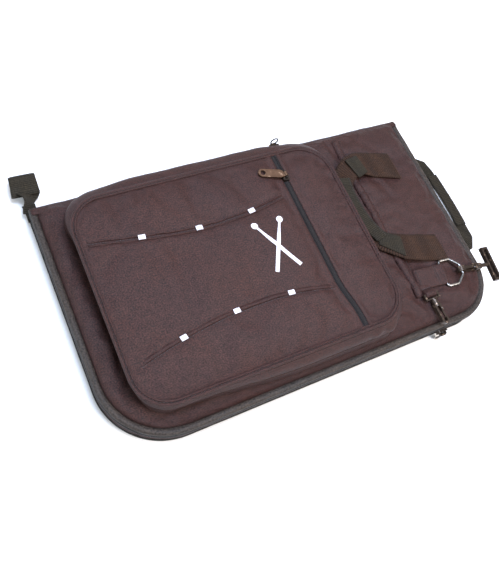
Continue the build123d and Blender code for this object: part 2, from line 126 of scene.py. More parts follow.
def bump(x, y, centre, reach):
    """A round swelling, 1 at its centre and 0 at reach along each axis."""
    away = np.hypot((x - centre[0]) / reach[0], (y - centre[1]) / reach[1])
    return 1 - ease(away, 0, 1)


def steps(*runs):
    """Positions along a line from runs of (start, end, step)."""
    rows = [np.linspace(a, b, max(2, round((b - a) / step) + 1))[:-1] for a, b, step in runs]
    return np.append(np.concatenate(rows), runs[-1][1])


def resample(points, step):
    """Points step apart along a line of points."""
    points = np.asarray(points, float)
    along = np.append(0, np.cumsum(np.linalg.norm(np.diff(points, axis=0), axis=1)))
    places = np.linspace(0, along[-1], max(2, round(along[-1] / step) + 1))
    return np.column_stack([np.interp(places, along, column) for column in points.T])


def smooth_line(points, rounds=3):
    """The line with its corners rounded off by repeated cutting; its ends stay."""
    points = np.asarray(points, float)
    for _ in range(rounds):
        near = points[:-1] * 0.75 + points[1:] * 0.25
        far = points[:-1] * 0.25 + points[1:] * 0.75
        middle = np.stack([near, far], axis=1).reshape(-1, points.shape[1])
        points = np.vstack([points[:1], middle[1:-1], points[-1:]])
    return points


# ---- Paths and meshes ---------------------------------------------------------------
def box_path(box, radii, counts, open_far=False):
    """Points round a box with rounded corners, counter-clockwise from the far left, and the
    normals that point inwards. radii: near left, near right, far right, far left.
    counts: points on a side along X, on a side along Y, and in a corner."""
    x0, x1, y0, y1 = box
    near_left, near_right, far_right, far_left = radii
    per_x, per_y, per_arc = counts
    points, normals = [], []

    def side(start, end, normal, count):
        for t in np.arange(count) / count:
            points.append((1 - t) * np.array(start) + t * np.array(end))
            normals.append(normal)

    def corner(centre, radius, first):
        for t in np.arange(per_arc) / per_arc:
            outwards = np.array([cos(first + t * pi / 2), sin(first + t * pi / 2)])
            points.append(np.array(centre) + radius * outwards)
            normals.append(-outwards)

    side((x0, y1 - far_left), (x0, y0 + near_left), (1, 0), per_y)
    corner((x0 + near_left, y0 + near_left), near_left, pi)
    side((x0 + near_left, y0), (x1 - near_right, y0), (0, 1), per_x)
    corner((x1 - near_right, y0 + near_right), near_right, 1.5 * pi)
    side((x1, y0 + near_right), (x1, y1 - far_right), (-1, 0), per_y)
    if open_far:
        points.append(np.array((x1, y1)))
        normals.append((-1, 0))
    else:
        corner((x1 - far_right, y1 - far_right), far_right, 0)
        side((x1 - far_right, y1), (x0 + far_left, y1), (0, -1), per_x)
        corner((x0 + far_left, y1 - far_left), far_left, 0.5 * pi)
    return np.array(points), np.array(normals, float)


def bag_path(step=4.0):
    """The bag's edge along its left, near and right sides."""
    x0, x1, y0, y1 = BAG
    counts = (round((x1 - x0) / step), round((y1 - y0) / step), round(pi / 2 * NEAR_LEFT_R / step))
    return box_path(BAG, (NEAR_LEFT_R, NEAR_RIGHT_R, 0, 0), counts, open_far=True)


def pocket_path(box, grow=0.0, radius=POCKET_R, finer=1):
    """The pocket's edge at one height, always with the same number of points."""
    x0, x1, y0, y1 = box
    grown = (x0 - grow, x1 + grow, y0 - grow, y1 + grow)
    return box_path(grown, (radius + grow,) * 4, (58 * finer, 42 * finer, 14 * finer))


def carried(path, profile):
    """A profile of (inset, z) rows carried along a path: points[i, j] is path point i."""
    points, normals = path
    profile = np.asarray(profile, float)
    if profile.ndim == 2:
        profile = np.broadcast_to(profile, (len(points),) + profile.shape)
    plan = points[:, None] + normals[:, None] * profile[..., :1]
    return np.concatenate([plan, profile[..., 1:]], axis=2)


def lengths(grid, axis, wrap):
    """Distance travelled along one axis of a grid of points, with one more entry if it wraps."""
    if wrap:
        grid = np.concatenate([grid, grid.take([0], axis=axis)], axis=axis)
    hops = np.linalg.norm(np.diff(grid, axis=axis), axis=2).mean(axis=1 - axis)
    return np.append(0, np.cumsum(hops))


def lattice(name, grid, material, wrap=(False, False), capped=False):
    """Mesh over a grid of points, which may wrap round either axis. Its UVs are in metres."""
    n, m = grid.shape[:2]
    rows, columns = n - (not wrap[0]), m - (not wrap[1])
    i, j = np.meshgrid(np.arange(rows), np.arange(columns), indexing="ij")
    i, j = i.ravel(), j.ravel()
    i2, j2 = i + 1, j + 1
    faces = np.column_stack([i * m + j, (i2 % n) * m + j, (i2 % n) * m + j2 % m, i * m + j2 % m])
    u, v = lengths(grid, 0, wrap[0]) * MM, lengths(grid, 1, wrap[1]) * MM
    uvs = np.stack([np.column_stack([u[a], v[b]]) for a, b in ((i, j), (i2, j), (i2, j2), (i, j2))],
                   axis=1)
    mesh = bpy.data.meshes.new(name)
    polygons = [tuple(face) for face in faces]
    if capped:
        polygons += [tuple(range(m))[::-1], tuple(range((n - 1) * m, n * m))]
    mesh.from_pydata(grid.reshape(-1, 3) * MM, [], polygons)
    layer = mesh.uv_layers.new(name="cloth")
    flat = np.zeros((len(mesh.loops), 2), np.float32)
    flat[:uvs.shape[0] * 4] = uvs.reshape(-1, 2)
    layer.data.foreach_set("uv", flat.ravel())
    return finished(name, mesh, material)


def finished(name, mesh, material, smooth=True):
    """Object for a mesh, linked to the scene, with its material."""
    mesh.materials.append(material)
    mesh.polygons.foreach_set("use_smooth", [smooth] * len(mesh.polygons))
    mesh.update()
    obj = bpy.data.objects.new(name, mesh)
    bpy.context.scene.collection.objects.link(obj)
    return obj


def outwards(obj):
    """Turns a closed mesh's faces outwards."""
    work = bmesh.new()
    work.from_mesh(obj.data)
    bmesh.ops.recalc_face_normals(work, faces=work.faces)
    work.to_mesh(obj.data)
    work.free()
    return obj


def band(name, path, profile, material, wrap=False):
    """Solid band: a closed profile of (inset, z) carried along an open or closed path."""
    grid = carried(path, profile)
    return outwards(lattice(name, grid, material, (wrap, True), capped=not wrap))


def thickened(obj, thickness):
    """Subdivides a sheet once and gives it its thickness, under its face."""
    smoother = obj.modifiers.new("smooth", "SUBSURF")
    smoother.levels = smoother.render_levels = 1
    solid = obj.modifiers.new("thickness", "SOLIDIFY")
    solid.thickness = thickness * MM
    solid.offset = -1
    return obj


def applied(obj):
    """The object with its modifiers made part of its mesh."""
    graph = bpy.context.evaluated_depsgraph_get()
    mesh = bpy.data.meshes.new_from_object(obj.evaluated_get(graph))
    obj.modifiers.clear()
    obj.data = mesh
    return obj


def joined(name, objects):
    """Several meshes made one."""
    work = bmesh.new()
    for obj in objects:
        work.from_mesh(obj.data)
    mesh = bpy.data.meshes.new(name)
    work.to_mesh(mesh)
    work.free()
    material = objects[0].data.materials[0]
    for obj in objects:
        bpy.data.objects.remove(obj)
    smooth = [polygon.use_smooth for polygon in mesh.polygons]
    made = finished(name, mesh, material)
    mesh.polygons.foreach_set("use_smooth", smooth)
    return made


def bead_shape():
    """Vertices and faces of a rounded bar along x, one unit long, wide and high."""
    stations = ((-0.5, 0.4), (-0.34, 1.0), (0.34, 1.0), (0.5, 0.4))
    sides = 6
    corners = [(x, 0.5 * r * cos(2 * pi * k / sides), 0.5 * r * sin(2 * pi * k / sides))
               for x, r in stations for k in range(sides)]
    faces = [(a * sides + k, a * sides + (k + 1) % sides,
              (a + 1) * sides + (k + 1) % sides, (a + 1) * sides + k)
             for a in range(3) for k in range(sides)]
    faces += [tuple(range(sides))[::-1], tuple(range(3 * sides, 4 * sides))]
    return np.array(corners), faces


def beads(name, centres, along, up, size, material):
    """One mesh of many small rounded bars: stitches, threads or zip teeth.
    size is (length, width, height); the length may be one number for each bar."""
    corners, faces = bead_shape()
    centres = np.asarray(centres, float)
    along = np.broadcast_to(unit(along), centres.shape)
    up = np.broadcast_to(np.asarray(up, float), centres.shape)
    up = unit(up - along * np.sum(up * along, axis=1, keepdims=True))
    across = np.cross(up, along)
    length, width, height = size
    length = np.broadcast_to(length, len(centres))[:, None, None]
    points = (centres[:, None] + along[:, None] * corners[None, :, :1] * length
              + across[:, None] * corners[None, :, 1:2] * width
              + up[:, None] * corners[None, :, 2:] * height)
    count = len(corners)
    polygons = [tuple(count * b + k for k in face) for b in range(len(centres)) for face in faces]
    mesh = bpy.data.meshes.new(name)
    mesh.from_pydata(points.reshape(-1, 3) * MM, [], polygons)
    return outwards(finished(name, mesh, material))


def stitched(name, line, up, material, pitch=3.4, length=2.5, width=0.55):
    """A row of stitches along a line of points."""
    line = resample(line, pitch)
    middles = (line[1:] + line[:-1]) / 2
    up = up if np.ndim(up) == 1 else resample(up, 1)[:len(middles)]
    return beads(name, middles, line[1:] - line[:-1], up, (length, width, width * 0.8), material)


def ribbon(name, left, right, up, thickness, material, rib=0.0, pitch=2.4, step=0.7):
    """Webbing between two edge lines of matching points, ribbed across its length."""
    if step:
        both = resample(np.hstack([left, right]), step)
        left, right = both[:, :3], both[:, 3:]
    middle = (left + right) / 2
    along = np.append(0, np.cumsum(np.linalg.norm(np.diff(middle, axis=0), axis=1)))
    up = np.broadcast_to(np.asarray(up, float), left.shape)
    across = np.linspace(0, 1, 11)
    edge = (1 - np.abs(2 * across - 1) ** 6) ** 0.5
    half = thickness / 2 * (0.35 + 0.65 * edge)[None] + rib * edge[None] * np.sin(
        2 * pi * along / pitch)[:, None]
    flat = left[:, None] * (1 - across)[None, :, None] + right[:, None] * across[None, :, None]
    top = flat + up[:, None] * half[..., None]
    bottom = flat - up[:, None] * half[..., None]
    grid = np.concatenate([top, bottom[:, ::-1]], axis=1)
    return outwards(lattice(name, grid, material, (False, True), capped=True))


def placed(obj, body, slot, *nodes):
    """Rides the piece on its body and hides the CAD nodes it stands for; its slot is not used."""
    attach(obj, body)
    if nodes:
        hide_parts(*nodes)
    return obj


# ---- Cloth simulation ---------------------------------------------------------------
CLOTH_FRAMES = 20


def inflated(obj, held, pressure, slack, cap):
    """Cloth held where held is 1, puffed up and slackened in a simulation, moved at most cap."""
    scene = bpy.context.scene
    rest = np.array([v.co for v in obj.data.vertices])
    group = obj.vertex_groups.new(name="held")
    for index, weight in enumerate(np.ravel(held)):
        group.add([index], float(weight), "REPLACE")
    cloth = obj.modifiers.new("cloth", "CLOTH")
    cloth.settings.vertex_group_mass = group.name
    cloth.settings.quality = 5
    cloth.settings.mass = 0.2
    cloth.settings.tension_stiffness = 30
    cloth.settings.compression_stiffness = 30
    cloth.settings.shear_stiffness = 10
    cloth.settings.bending_stiffness = 0.6
    cloth.settings.use_pressure = True
    cloth.settings.uniform_pressure_force = pressure
    cloth.settings.shrink_min = -slack
    cloth.settings.shrink_max = -slack
    cloth.settings.effector_weights.gravity = 0
    cloth.collision_settings.use_collision = False
    cloth.collision_settings.use_self_collision = False
    for number in range(1, CLOTH_FRAMES + 1):
        scene.frame_set(number)
    graph = bpy.context.evaluated_depsgraph_get()
    moved = np.array([v.co for v in obj.evaluated_get(graph).data.vertices]) - rest
    obj.modifiers.clear()
    scene.frame_set(1)
    far = np.linalg.norm(moved, axis=1, keepdims=True)
    moved *= np.tanh(far / (cap * MM)) * (cap * MM) / np.maximum(far, 1e-9)
    obj.data.vertices.foreach_set("co", (rest + moved).astype(np.float32).ravel())
    obj.data.update()
    return obj


class Ground:
    """The top of some pieces, for laying other things on it."""

    def __init__(self, *objects):
        work = bmesh.new()
        for obj in objects:
            work.from_mesh(obj.data)
        self.tree = BVHTree.FromBMesh(work)
        work.free()

    def height(self, x, y):
        """Height of the surface under a place in plan, in millimetres."""
        hit = self.tree.ray_cast(Vector((x * MM, y * MM, 1.0)), Vector((0, 0, -1)))[0]
        return hit.z / MM if hit else 0.0

    def under(self, plan, lift=0.0):
        """The plan's points on the surface, or lift above it."""
        return np.array([(x, y, self.height(x, y) + lift) for x, y in np.asarray(plan)[:, :2]])


# ---- Materials ----------------------------------------------------------------------
class Shading:
    """A node material in the making, with short calls for its nodes."""

    def __init__(self, name, where="UV", **constants):
        self.material = bpy.data.materials.new(name)
        self.material.use_nodes = True
        self.tree = self.material.node_tree
        self.shader = self.tree.nodes["Principled BSDF"]
        self.place = self.node("TexCoord").outputs[where]
        for socket, value in constants.items():
            self.shader.inputs[socket.replace("_", " ")].default_value = value

    def node(self, kind, **settings):
        made = self.tree.nodes.new("ShaderNode" + kind)
        for key, value in settings.items():
            setattr(made, key, value)
        return made

    def feed(self, socket, value):
        if isinstance(value, bpy.types.NodeSocket):
            self.tree.links.new(value, socket)
        else:
            socket.default_value = value

    def math(self, operation, a, b=0.0):
        node = self.node("Math", operation=operation)
        self.feed(node.inputs[0], a)
        self.feed(node.inputs[1], b)
        return node.outputs[0]

    def noise(self, size, detail=2.0, stretch=None):
        """Noise, about 0.3 to 0.7, whose lumps are size millimetres across."""
        place = self.place
        if stretch:
            mapping = self.node("Mapping")
            mapping.inputs["Scale"].default_value = stretch
            self.feed(mapping.inputs["Vector"], place)
            place = mapping.outputs[0]
        node = self.node("TexNoise")
        node.inputs["Scale"].default_value = 1 / (size * MM)
        node.inputs["Detail"].default_value = detail
        self.feed(node.inputs["Vector"], place)
        return node.outputs["Fac"]

    def ridges(self, axis, pitch):
        """A sine wave along one axis, -1 to 1."""
        parts = self.node("SeparateXYZ")
        self.feed(parts.inputs[0], self.place)
        return self.math("SINE", self.math("MULTIPLY", parts.outputs[axis], 2 * pi / (pitch * MM)))

    def ramp(self, value, *stops):
        """Colours at positions: stops are (position, (r, g, b))."""
        node = self.node("ValToRGB")
        elements = node.color_ramp.elements
        while len(elements) < len(stops):
            elements.new(0.5)
        for element, (position, colour) in zip(elements, stops):
            element.position = position
            element.color = (*colour, 1)
        self.feed(node.inputs[0], value)
        return node.outputs[0]

    def tinted(self, colour, by):
        """A colour multiplied by another."""
        node = self.node("Mix", data_type="RGBA", blend_type="MULTIPLY")
        node.inputs[0].default_value = 1
        self.feed(node.inputs[6], colour)
        self.feed(node.inputs[7], by)
        return node.outputs[2]

    def between(self, value, low, high):
        """A value from 0.3 to 0.7 spread from low to high."""
        node = self.node("MapRange")
        self.feed(node.inputs["Value"], value)
        limits = {"From Min": 0.3, "From Max": 0.7, "To Min": low, "To Max": high}
        for name, number in limits.items():
            node.inputs[name].default_value = number
        return node.outputs[0]

    def done(self, colour, roughness, height, depth):
        """Joins colour, roughness and a height in units of depth millimetres to the shader."""
        relief = self.node("Bump")
        relief.inputs["Distance"].default_value = depth * MM
        self.feed(relief.inputs["Height"], height)
        self.feed(self.shader.inputs["Base Color"], colour)
        self.feed(self.shader.inputs["Roughness"], roughness)
        self.feed(self.shader.inputs["Normal"], relief.outputs[0])
        return self.material


def scaled(colour, factor):
    """A colour made lighter or darker."""
    return tuple(min(1.0, part * factor) for part in colour)


def woven(name, colour, pitch=(0.9, 0.9), grain=1.5, contrast=0.72, depth=0.22):
    """Woven cloth: threads at a pitch along and across, grains of lighter and darker thread,
    and a slow drift of tone from purple to brown."""
    drift = 0.05
    s = Shading(name, Sheen_Weight=0.02, Sheen_Roughness=0.4, Specular_IOR_Level=0.26)
    weave = s.math("MULTIPLY", s.ridges(0, pitch[0]), s.ridges(1, pitch[1]))
    mottle = s.noise(grain * 5, detail=2.0)
    speck = s.math("ADD", s.math("MULTIPLY", s.noise(grain, detail=1.5), 0.8),
                   s.math("MULTIPLY", mottle, 0.2))
    tone = s.ramp(speck, (0.34, scaled(colour, 1 - contrast)), (0.5, colour),
                  (0.68, scaled(colour, 1 + 1.3 * contrast)))
    slow = s.ramp(s.noise(65, detail=1.5), (0.35, (1 - drift, 1.0, 1 + drift)),
                  (0.65, (1 + drift, 1.0, 1 - drift)))
    fine = s.math("ADD", s.math("MULTIPLY", weave, 0.35), s.math("MULTIPLY", speck, 1.4))
    return s.done(s.tinted(tone, slow), s.between(speck, 0.42, 0.62), fine, depth)


def webbing(name, colour, ribs=2.4):
    """Ribbed webbing: fat ribs across the strap, with painted highlight and shade across them, and
    finer threads along it.
    """
    s = Shading(name, Sheen_Weight=0.02, Sheen_Roughness=0.5, Specular_IOR_Level=0.14)
    rib = s.ridges(0, ribs)
    threads = s.math("MULTIPLY", rib, s.ridges(1, 1.5))
    speck = s.noise(1.5, detail=3.0)
    worn = s.noise(14, detail=3.0)
    # Colour banded by the ribs: painted highlight along their crests and painted shade in their
    # grooves, over the yarn's own speckle.
    grain_and_rib_shade = s.math("ADD", speck, s.math("MULTIPLY", rib, 0.14))
    tone = s.ramp(grain_and_rib_shade, (0.32, scaled(colour, 0.5)), (0.5, colour), (0.68, scaled(colour, 1.9)))
    rub = s.ramp(worn, (0.4, (1.0, 1.0, 1.0)), (0.68, (1.25, 1.2, 1.12)))
    fine = s.math("ADD", s.math("MULTIPLY", threads, 0.5), s.math("MULTIPLY", speck, 1.0))
    return s.done(s.tinted(tone, rub), s.between(worn, 0.55, 0.8), fine, 0.3)


def metal(name, colour, worn, rough=(0.25, 0.5), metallic=1.0):
    """Metal or lacquered metal, rubbed lighter in places, with fine scratches."""
    s = Shading(name, "Object", Metallic=metallic, Specular_IOR_Level=0.5)
    rub = s.noise(4.0, detail=6.0)
    scratches = s.noise(1.2, detail=2.0, stretch=(1.0, 6.0, 1.0))
    tone = s.ramp(rub, (0.42, scaled(colour, 0.8)), (0.52, colour), (0.6, colour), (0.65, worn))
    return s.done(tone, s.between(scratches, *rough), s.math("ADD", scratches, rub), 0.05)


def moulded(name, colour):
    """Moulded nylon, as in zip coils."""
    s = Shading(name, Specular_IOR_Level=0.25)
    speck = s.noise(0.9, detail=2.0)
    tone = s.ramp(speck, (0.35, scaled(colour, 0.7)), (0.65, scaled(colour, 1.4)))
    return s.done(tone, s.between(speck, 0.35, 0.55), speck, 0.05)


def spun(name, colour):
    """Glossy sewing thread."""
    s = Shading(name, "Object", Sheen_Weight=0.2, Specular_IOR_Level=0.5)
    twist = s.noise(0.5, detail=2.0)
    tone = s.ramp(twist, (0.35, scaled(colour, 0.82)), (0.65, colour))
    return s.done(tone, s.between(twist, 0.5, 0.7), twist, 0.08)


NYLON = woven("nylon", (0.0335, 0.0135, 0.0115))
BORDER = woven("border_tape", (0.034, 0.026, 0.021), pitch=(1.6, 1.2), grain=2.0, contrast=0.7)
BINDING = webbing("binding_tape", (0.011, 0.012, 0.009), ribs=1.6)
STRAP = webbing("strap_webbing", (0.026, 0.0135, 0.0085), ribs=2.8)
STRAP_DARK = webbing("dark_webbing", (0.019, 0.016, 0.011))
LINING = woven("lining_cloth", (0.030, 0.030, 0.034), pitch=(0.5, 0.5), grain=0.9, depth=0.12)
TAPE = woven("zip_tape", (0.020, 0.018, 0.018), pitch=(0.9, 0.5), grain=0.8, depth=0.15)
COIL = moulded("zip_coil", (0.016, 0.014, 0.015))
THREAD = spun("black_thread", (0.022, 0.018, 0.019))
WHITE_THREAD = spun("white_thread", (0.86, 0.83, 0.90))
BRASS = metal("pull_brass", (0.17, 0.105, 0.068), (0.40, 0.28, 0.19), rough=(0.35, 0.55))
SLIDER = metal("slider_black", (0.045, 0.035, 0.028), (0.35, 0.24, 0.15), metallic=0.8)
STEEL = metal("ring_steel", (0.24, 0.235, 0.225), (0.42, 0.41, 0.40), rough=(0.25, 0.45))
HOOK = metal("hook_lacquer", (0.060, 0.043, 0.032), (0.24, 0.17, 0.12), metallic=0.6)
RIVET = metal("rivet_steel", (0.45, 0.44, 0.42), (0.6, 0.6, 0.6), rough=(0.2, 0.35))


def painted(material, slot, *nodes):
    """Gives carried-over CAD nodes their material."""
    for name in nodes:
        node = frame["nodes"][name]
        node.data.materials.clear()
        node.data.materials.append(material)


# ---- Back half ----------------------------------------------------------------------
def uneven(path, profile, amount, size, seed):
    """A profile for each path point, its inset and height wandering by amount."""
    points = carried(path, profile)
    rows = np.broadcast_to(np.asarray(profile, float), points.shape[:2] + (2,)).copy()
    rows[..., 0] += amount * 0.7 * wander(points, size, seed)
    rows[..., 1] += amount * wander(points, size, seed + 40)
    return rows


def back_binding():
    """Rolled webbing tape round the back panel's edge."""
    roll = [(9.0, 0.3), (4.0, 0.5), (1.2, 1.7), (0.1, 3.6), (0.3, 5.6), (1.6, 6.9), (3.6, 7.0),
            (4.6, 5.2), (5.0, 2.4), (9.0, 1.5)]
    path = bag_path(3.0)
    return placed(band("back_binding_tape", path, uneven(path, roll, 0.3, 22, 3.1), BINDING),
                  "back_half", "binding", "back_binding")


def side_wall(name, body, node, z0, z1, seed):
    """Nylon wall of the edge, pulled in at its middle, with small wrinkles."""
    middle = (z0 + z1) / 2
    wall = [(1.0, z0), (1.6, z0 + 1.2), (2.3, middle), (1.5, z1 - 1.0), (1.1, z1),
            (4.0, z1), (4.6, middle), (4.0, z0)]
    path = bag_path(3.0)
    return placed(band(name, path, uneven(path, wall, 0.5, 9, seed), NYLON), body, "nylon", node)


def back_panel():
    """Padded back panel; it lies flat on the floor and is quilted by two long seams."""
    x0, x1, y0, y1 = plan_of("back_cover")
    xs, ys = steps((x0, x1, 6.0)), steps((y0, y1, 6.0))
    near = (NEAR_LEFT_R - 3, NEAR_RIGHT_R - 3)
    grid = rounded_rows((x0, x1, y0, y1), near + (3, 3), xs, ys)
    edge = inset_of(grid, (x0, x1, y0, y1), near)
    seams = sum(np.exp(-((grid[..., 1] - y) / 2.5) ** 2) for y in (-46, 46))
    bottom, top = grid.copy(), grid.copy()
    lifted = 1.2 - 1.0 * ease(edge, 0, 9)
    bottom[..., 2] = lifted + 0.9 * seams * ease(edge, 6, 12) + 0.2 * wander(grid, 40, 2.0) + 0.2
    top[..., 2] = 3.9
    bottom[..., 2] = bottom[..., 2].clip(0.05, 3)
    pad = pillow("back_panel_pad", top, bottom, NYLON)
    return placed(pad, "back_half", "nylon", "back_cover", "back_foam")


def rounded_rows(box, radii, xs, ys):
    """Grid of points over a box; each row along X is squeezed to the width its corners leave."""
    x0, x1, y0, y1 = box
    near_left, near_right, far_right, far_left = radii

    def cut(y, near, far):
        at_near = np.clip(near - (y - y0), 0, near)
        at_far = np.clip(far - (y1 - y), 0, far)
        return near - (near ** 2 - at_near ** 2) ** 0.5 + far - (far ** 2 - at_far ** 2) ** 0.5

    left = x0 + cut(ys, near_left, far_left)
    right = x1 - cut(ys, near_right, far_right)
    share = (xs - xs[0]) / (xs[-1] - xs[0])
    grid = np.zeros((len(xs), len(ys), 3))
    grid[..., 0] = left[None] + (right - left)[None] * share[:, None]
    grid[..., 1] = ys[None]
    return grid


def inset_of(grid, box, radius, open_far=True):
    """How far inside a box with rounded corners each point is, in plan. The radius is one
    number, or one for the left corners and one for the right."""
    x0, x1, y0, y1 = box
    if open_far:
        y1 = y1 + 200
    radius = np.where(grid[..., 0] < (x0 + x1) / 2, *np.broadcast_to(radius, 2))
    half = np.array([(x1 - x0) / 2, (y1 - y0) / 2])
    q = np.abs(grid[..., :2] - [(x0 + x1) / 2, (y0 + y1) / 2]) - half + radius[..., None]
    return radius - np.linalg.norm(q.clip(0), axis=-1) - q.max(axis=-1).clip(None, 0)


def pillow(name, top, bottom, material):
    """Closed pad from two grids of points that share their outline."""
    n, m = top.shape[:2]
    points = np.concatenate([top.reshape(-1, 3), bottom.reshape(-1, 3)])
    index = np.arange(n * m).reshape(n, m)
    a, b, c, d = index[:-1, :-1], index[1:, :-1], index[1:, 1:], index[:-1, 1:]
    upper = np.stack([a, b, c, d], axis=-1).reshape(-1, 4)
    lower = upper[:, ::-1] + n * m
    rim = np.concatenate([index[:, 0], index[-1, 1:], index[-2::-1, -1], index[0, -2:0:-1]])
    after = np.roll(rim, -1)
    sides = np.column_stack([after, rim, rim + n * m, after + n * m])
    faces = np.concatenate([upper, lower, sides])
    mesh = bpy.data.meshes.new(name)
    mesh.from_pydata(points * MM, [], [tuple(face) for face in faces])
    layer = mesh.uv_layers.new(name="cloth")
    corner = np.zeros(len(mesh.loops), np.int64)
    mesh.loops.foreach_get("vertex_index", corner)
    layer.data.foreach_set("uv", (points[corner, :2] * MM).astype(np.float32).ravel())
    return outwards(finished(name, mesh, material))


def inner_sheet(name, node, body, face_up, seed):
    """Lining cloth of one half, lightly rumpled."""
    box, (low, high) = plan_of(node), span(node)
    radii = (NEAR_LEFT_R - 10, NEAR_RIGHT_R - 10, 3, 3)
    grid = rounded_rows(box, radii, steps((box[0], box[1], 8.0)), steps((box[2], box[3], 8.0)))
    middle = (low[2] + high[2]) / 2
    grid[..., 2] = middle + 0.2 * wander(grid, 18, seed)
    if not face_up:
        grid = grid[::-1]
    sheet = thickened(lattice(name, grid, LINING), LINING_THICKNESS)
    return placed(sheet, body, "lining", node)


def sleeves(name, sheet_node, seam_node, body, count, face_up):
    """Row of stick sleeves: one cloth sewn down between round channels, open at its mouth."""
    x0, x1, y0, y1 = plan_of(sheet_node)
    (_, _, a), (_, _, b) = span(seam_node)
    base, crown = (a, b + 1.0) if face_up else (b, a - 1.0)
    xs, ys = steps((x0, x1, 7.0)), np.linspace(y0, y1, count * 12 + 1)
    across = (ys - y0) / (y1 - y0) * count
    arch = np.abs(np.sin(pi * across)) ** 0.55
    closed = ease(xs, x0, x0 + 26)
    grid = np.zeros((len(xs), len(ys), 3))
    grid[..., 0], grid[..., 1] = xs[:, None], ys[None]
    rise = 0.06 + 0.94 * closed[:, None] * arch[None]
    grid[..., 2] = base + (crown - base) * rise
    grid[..., 2] += (0.5 if face_up else -0.5) * wander(grid, 15, count) * rise
    if not face_up:
        grid = grid[::-1]
    cloth = thickened(lattice(name, grid, LINING), LINING_THICKNESS)
    width = lengths(grid, 1, False)[-1] * MM
    return placed(cloth, body, "lining", sheet_node, seam_node)


def mouth_binding(name, sleeve_node, seam_node, body, count, face_up):
    """Webbing tape along the sleeves' open ends."""
    x0, x1, y0, y1 = plan_of(sleeve_node)
    (_, _, a), (_, _, b) = span(seam_node)
    base, crown = (a + 0.6, b + 1.4) if face_up else (b - 0.6, a - 1.4)
    ys = np.linspace(y0, y1, count * 24 + 1)
    arch = np.abs(np.sin(pi * (ys - y0) / (y1 - y0) * count)) ** 0.55
    z = base + (crown - base) * (0.06 + 0.94 * arch)
    left = np.column_stack([np.full(len(ys), x1 - 9), ys, z])
    right = np.column_stack([np.full(len(ys), x1 + 1), ys, z])
    return placed(ribbon(name, left, right, UP, 1.2, BINDING, step=2.0), body, "binding")


def inside(half, count, face_up, seed):
    """One half's lining, its row of stick sleeves and the tape along their mouths."""
    body, nodes = half + "_half", (half + "_sleeve_sheet", half + "_sleeve_seams")
    inner_sheet(half + "_lining_cloth", half + "_lining", body, face_up, seed)
    sleeves(half + "_sleeves", *nodes, body, count, face_up)
    mouth_binding(half + "_sleeve_tape", *nodes, body, count, face_up)


def zip_half(name, path, z, body, node, flip):
    """Half a zip on a path: woven tape with a row of coil teeth along its edge."""
    low, high = z
    tape_z = (low + 0.2, low + 3.2) if flip else (high - 3.2, high - 0.2)
    tape = band(name + "_tape", path, [(2.6, tape_z[0]), (2.0, tape_z[0]), (2.0, tape_z[1]),
                                       (2.6, tape_z[1])], TAPE)
    line = carried(path, [(1.3, (low + high) / 2)])[:, 0]
    fine = resample(line, 1.7)
    middles, along = (fine[1:] + fine[:-1]) / 2, fine[1:] - fine[:-1]
    teeth = beads(name + "_teeth", middles, np.tile(UP, (len(middles), 1)), along,
                  (high - low + 0.5, 2.0, 1.25), COIL)
    placed(tape, body, "zip_tape")
    return placed(teeth, body, "zip_coil", node)


def main_zip():
    """The two halves of the main zip on three sides."""
    path = bag_path(4.0)
    for node, body, flip in (("back_zip_coil", "back_half", False),
                             ("front_zip_coil", "front_half", True)):
        low, high = span(node)
        zip_half(node.replace("coil", "chain"), path, (low[2], high[2]), body, node, flip)


def spine():
    """Nylon that wraps the far edge from the front panel down to the back panel."""
    x0, x1, _, y1 = plan_of("spine_panel", 2.0)
    y1 -= 2.0
    section = [(y1 - 10, PANEL_TOP - 4.4), (y1 - 5, PANEL_TOP - 4.8), (y1 - 1.2, PANEL_TOP - 7.0),
               (y1 - 0.2, 23), (y1 + 0.3, 17), (y1, 10), (y1 - 1.5, 5), (y1 - 6, 2.2),
               (y1 - 12, 1.6)]
    section = resample(smooth_line(section), 2.2)
    xs = steps((x0, x1, 5.0))
    grid = np.zeros((len(xs), len(section), 3))
    grid[..., 0], grid[..., 1:] = xs[:, None], section[None]
    free = ease(np.arange(len(section)), 0, 4) * ease(-np.arange(len(section)), -len(section) + 1,
                                                      -len(section) + 5)
    fold = 0.8 * wander(grid, 26, 5.0) + 0.7 * creases(grid * [0.4, 1, 1.6], 14, 9.0)
    grid[..., 1] += fold * free
    grid[..., 2] += 0.35 * wander(grid, 30, 8.0) * free
    sheet = applied(thickened(lattice("spine_cloth", grid[::-1], NYLON), WALL_THICKNESS))
    flat = lengths(grid, 1, False)[-1]
    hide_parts("spine_panel")
    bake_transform(sheet)


# ---- Front half ---------------------------------------------------------------------
def front_border():
    """Rolled nylon border of the front half, outside the groove of the padded panel."""
    roll = [(1.2, 24.0), (0.3, 25.2), (0.3, 26.4), (1.2, 28.0), (2.8, 29.0), (4.8, 28.9),
            (6.4, 27.9), (7.6, 26.6), (13.0, 25.6), (13.0, 24.4), (7.0, 24.0)]
    path = bag_path(3.0)
    rows = uneven(path, roll, 0.45, 16, 7.7)
    rows[..., 1] -= 0.5 * creases(carried(path, roll) * [1, 1, 0.2], 11, 3.0) * (rows[..., 1] > 28)
    return placed(band("front_border_band", path, rows, BORDER), "front_half", "nylon",
                  "front_border")


def edge_piping():
    """Thin dark tape that binds the border's lower edge above the zip."""
    roll = [(0.5, 23.0), (-0.1, 24.0), (0.1, 25.2), (1.2, 25.8), (2.4, 25.2), (2.6, 23.8),
            (1.6, 22.9)]
    path = bag_path(3.0)
    return placed(band("front_edge_tape", path, uneven(path, roll, 0.12, 12, 1.5), BINDING),
                  "front_half", "binding")


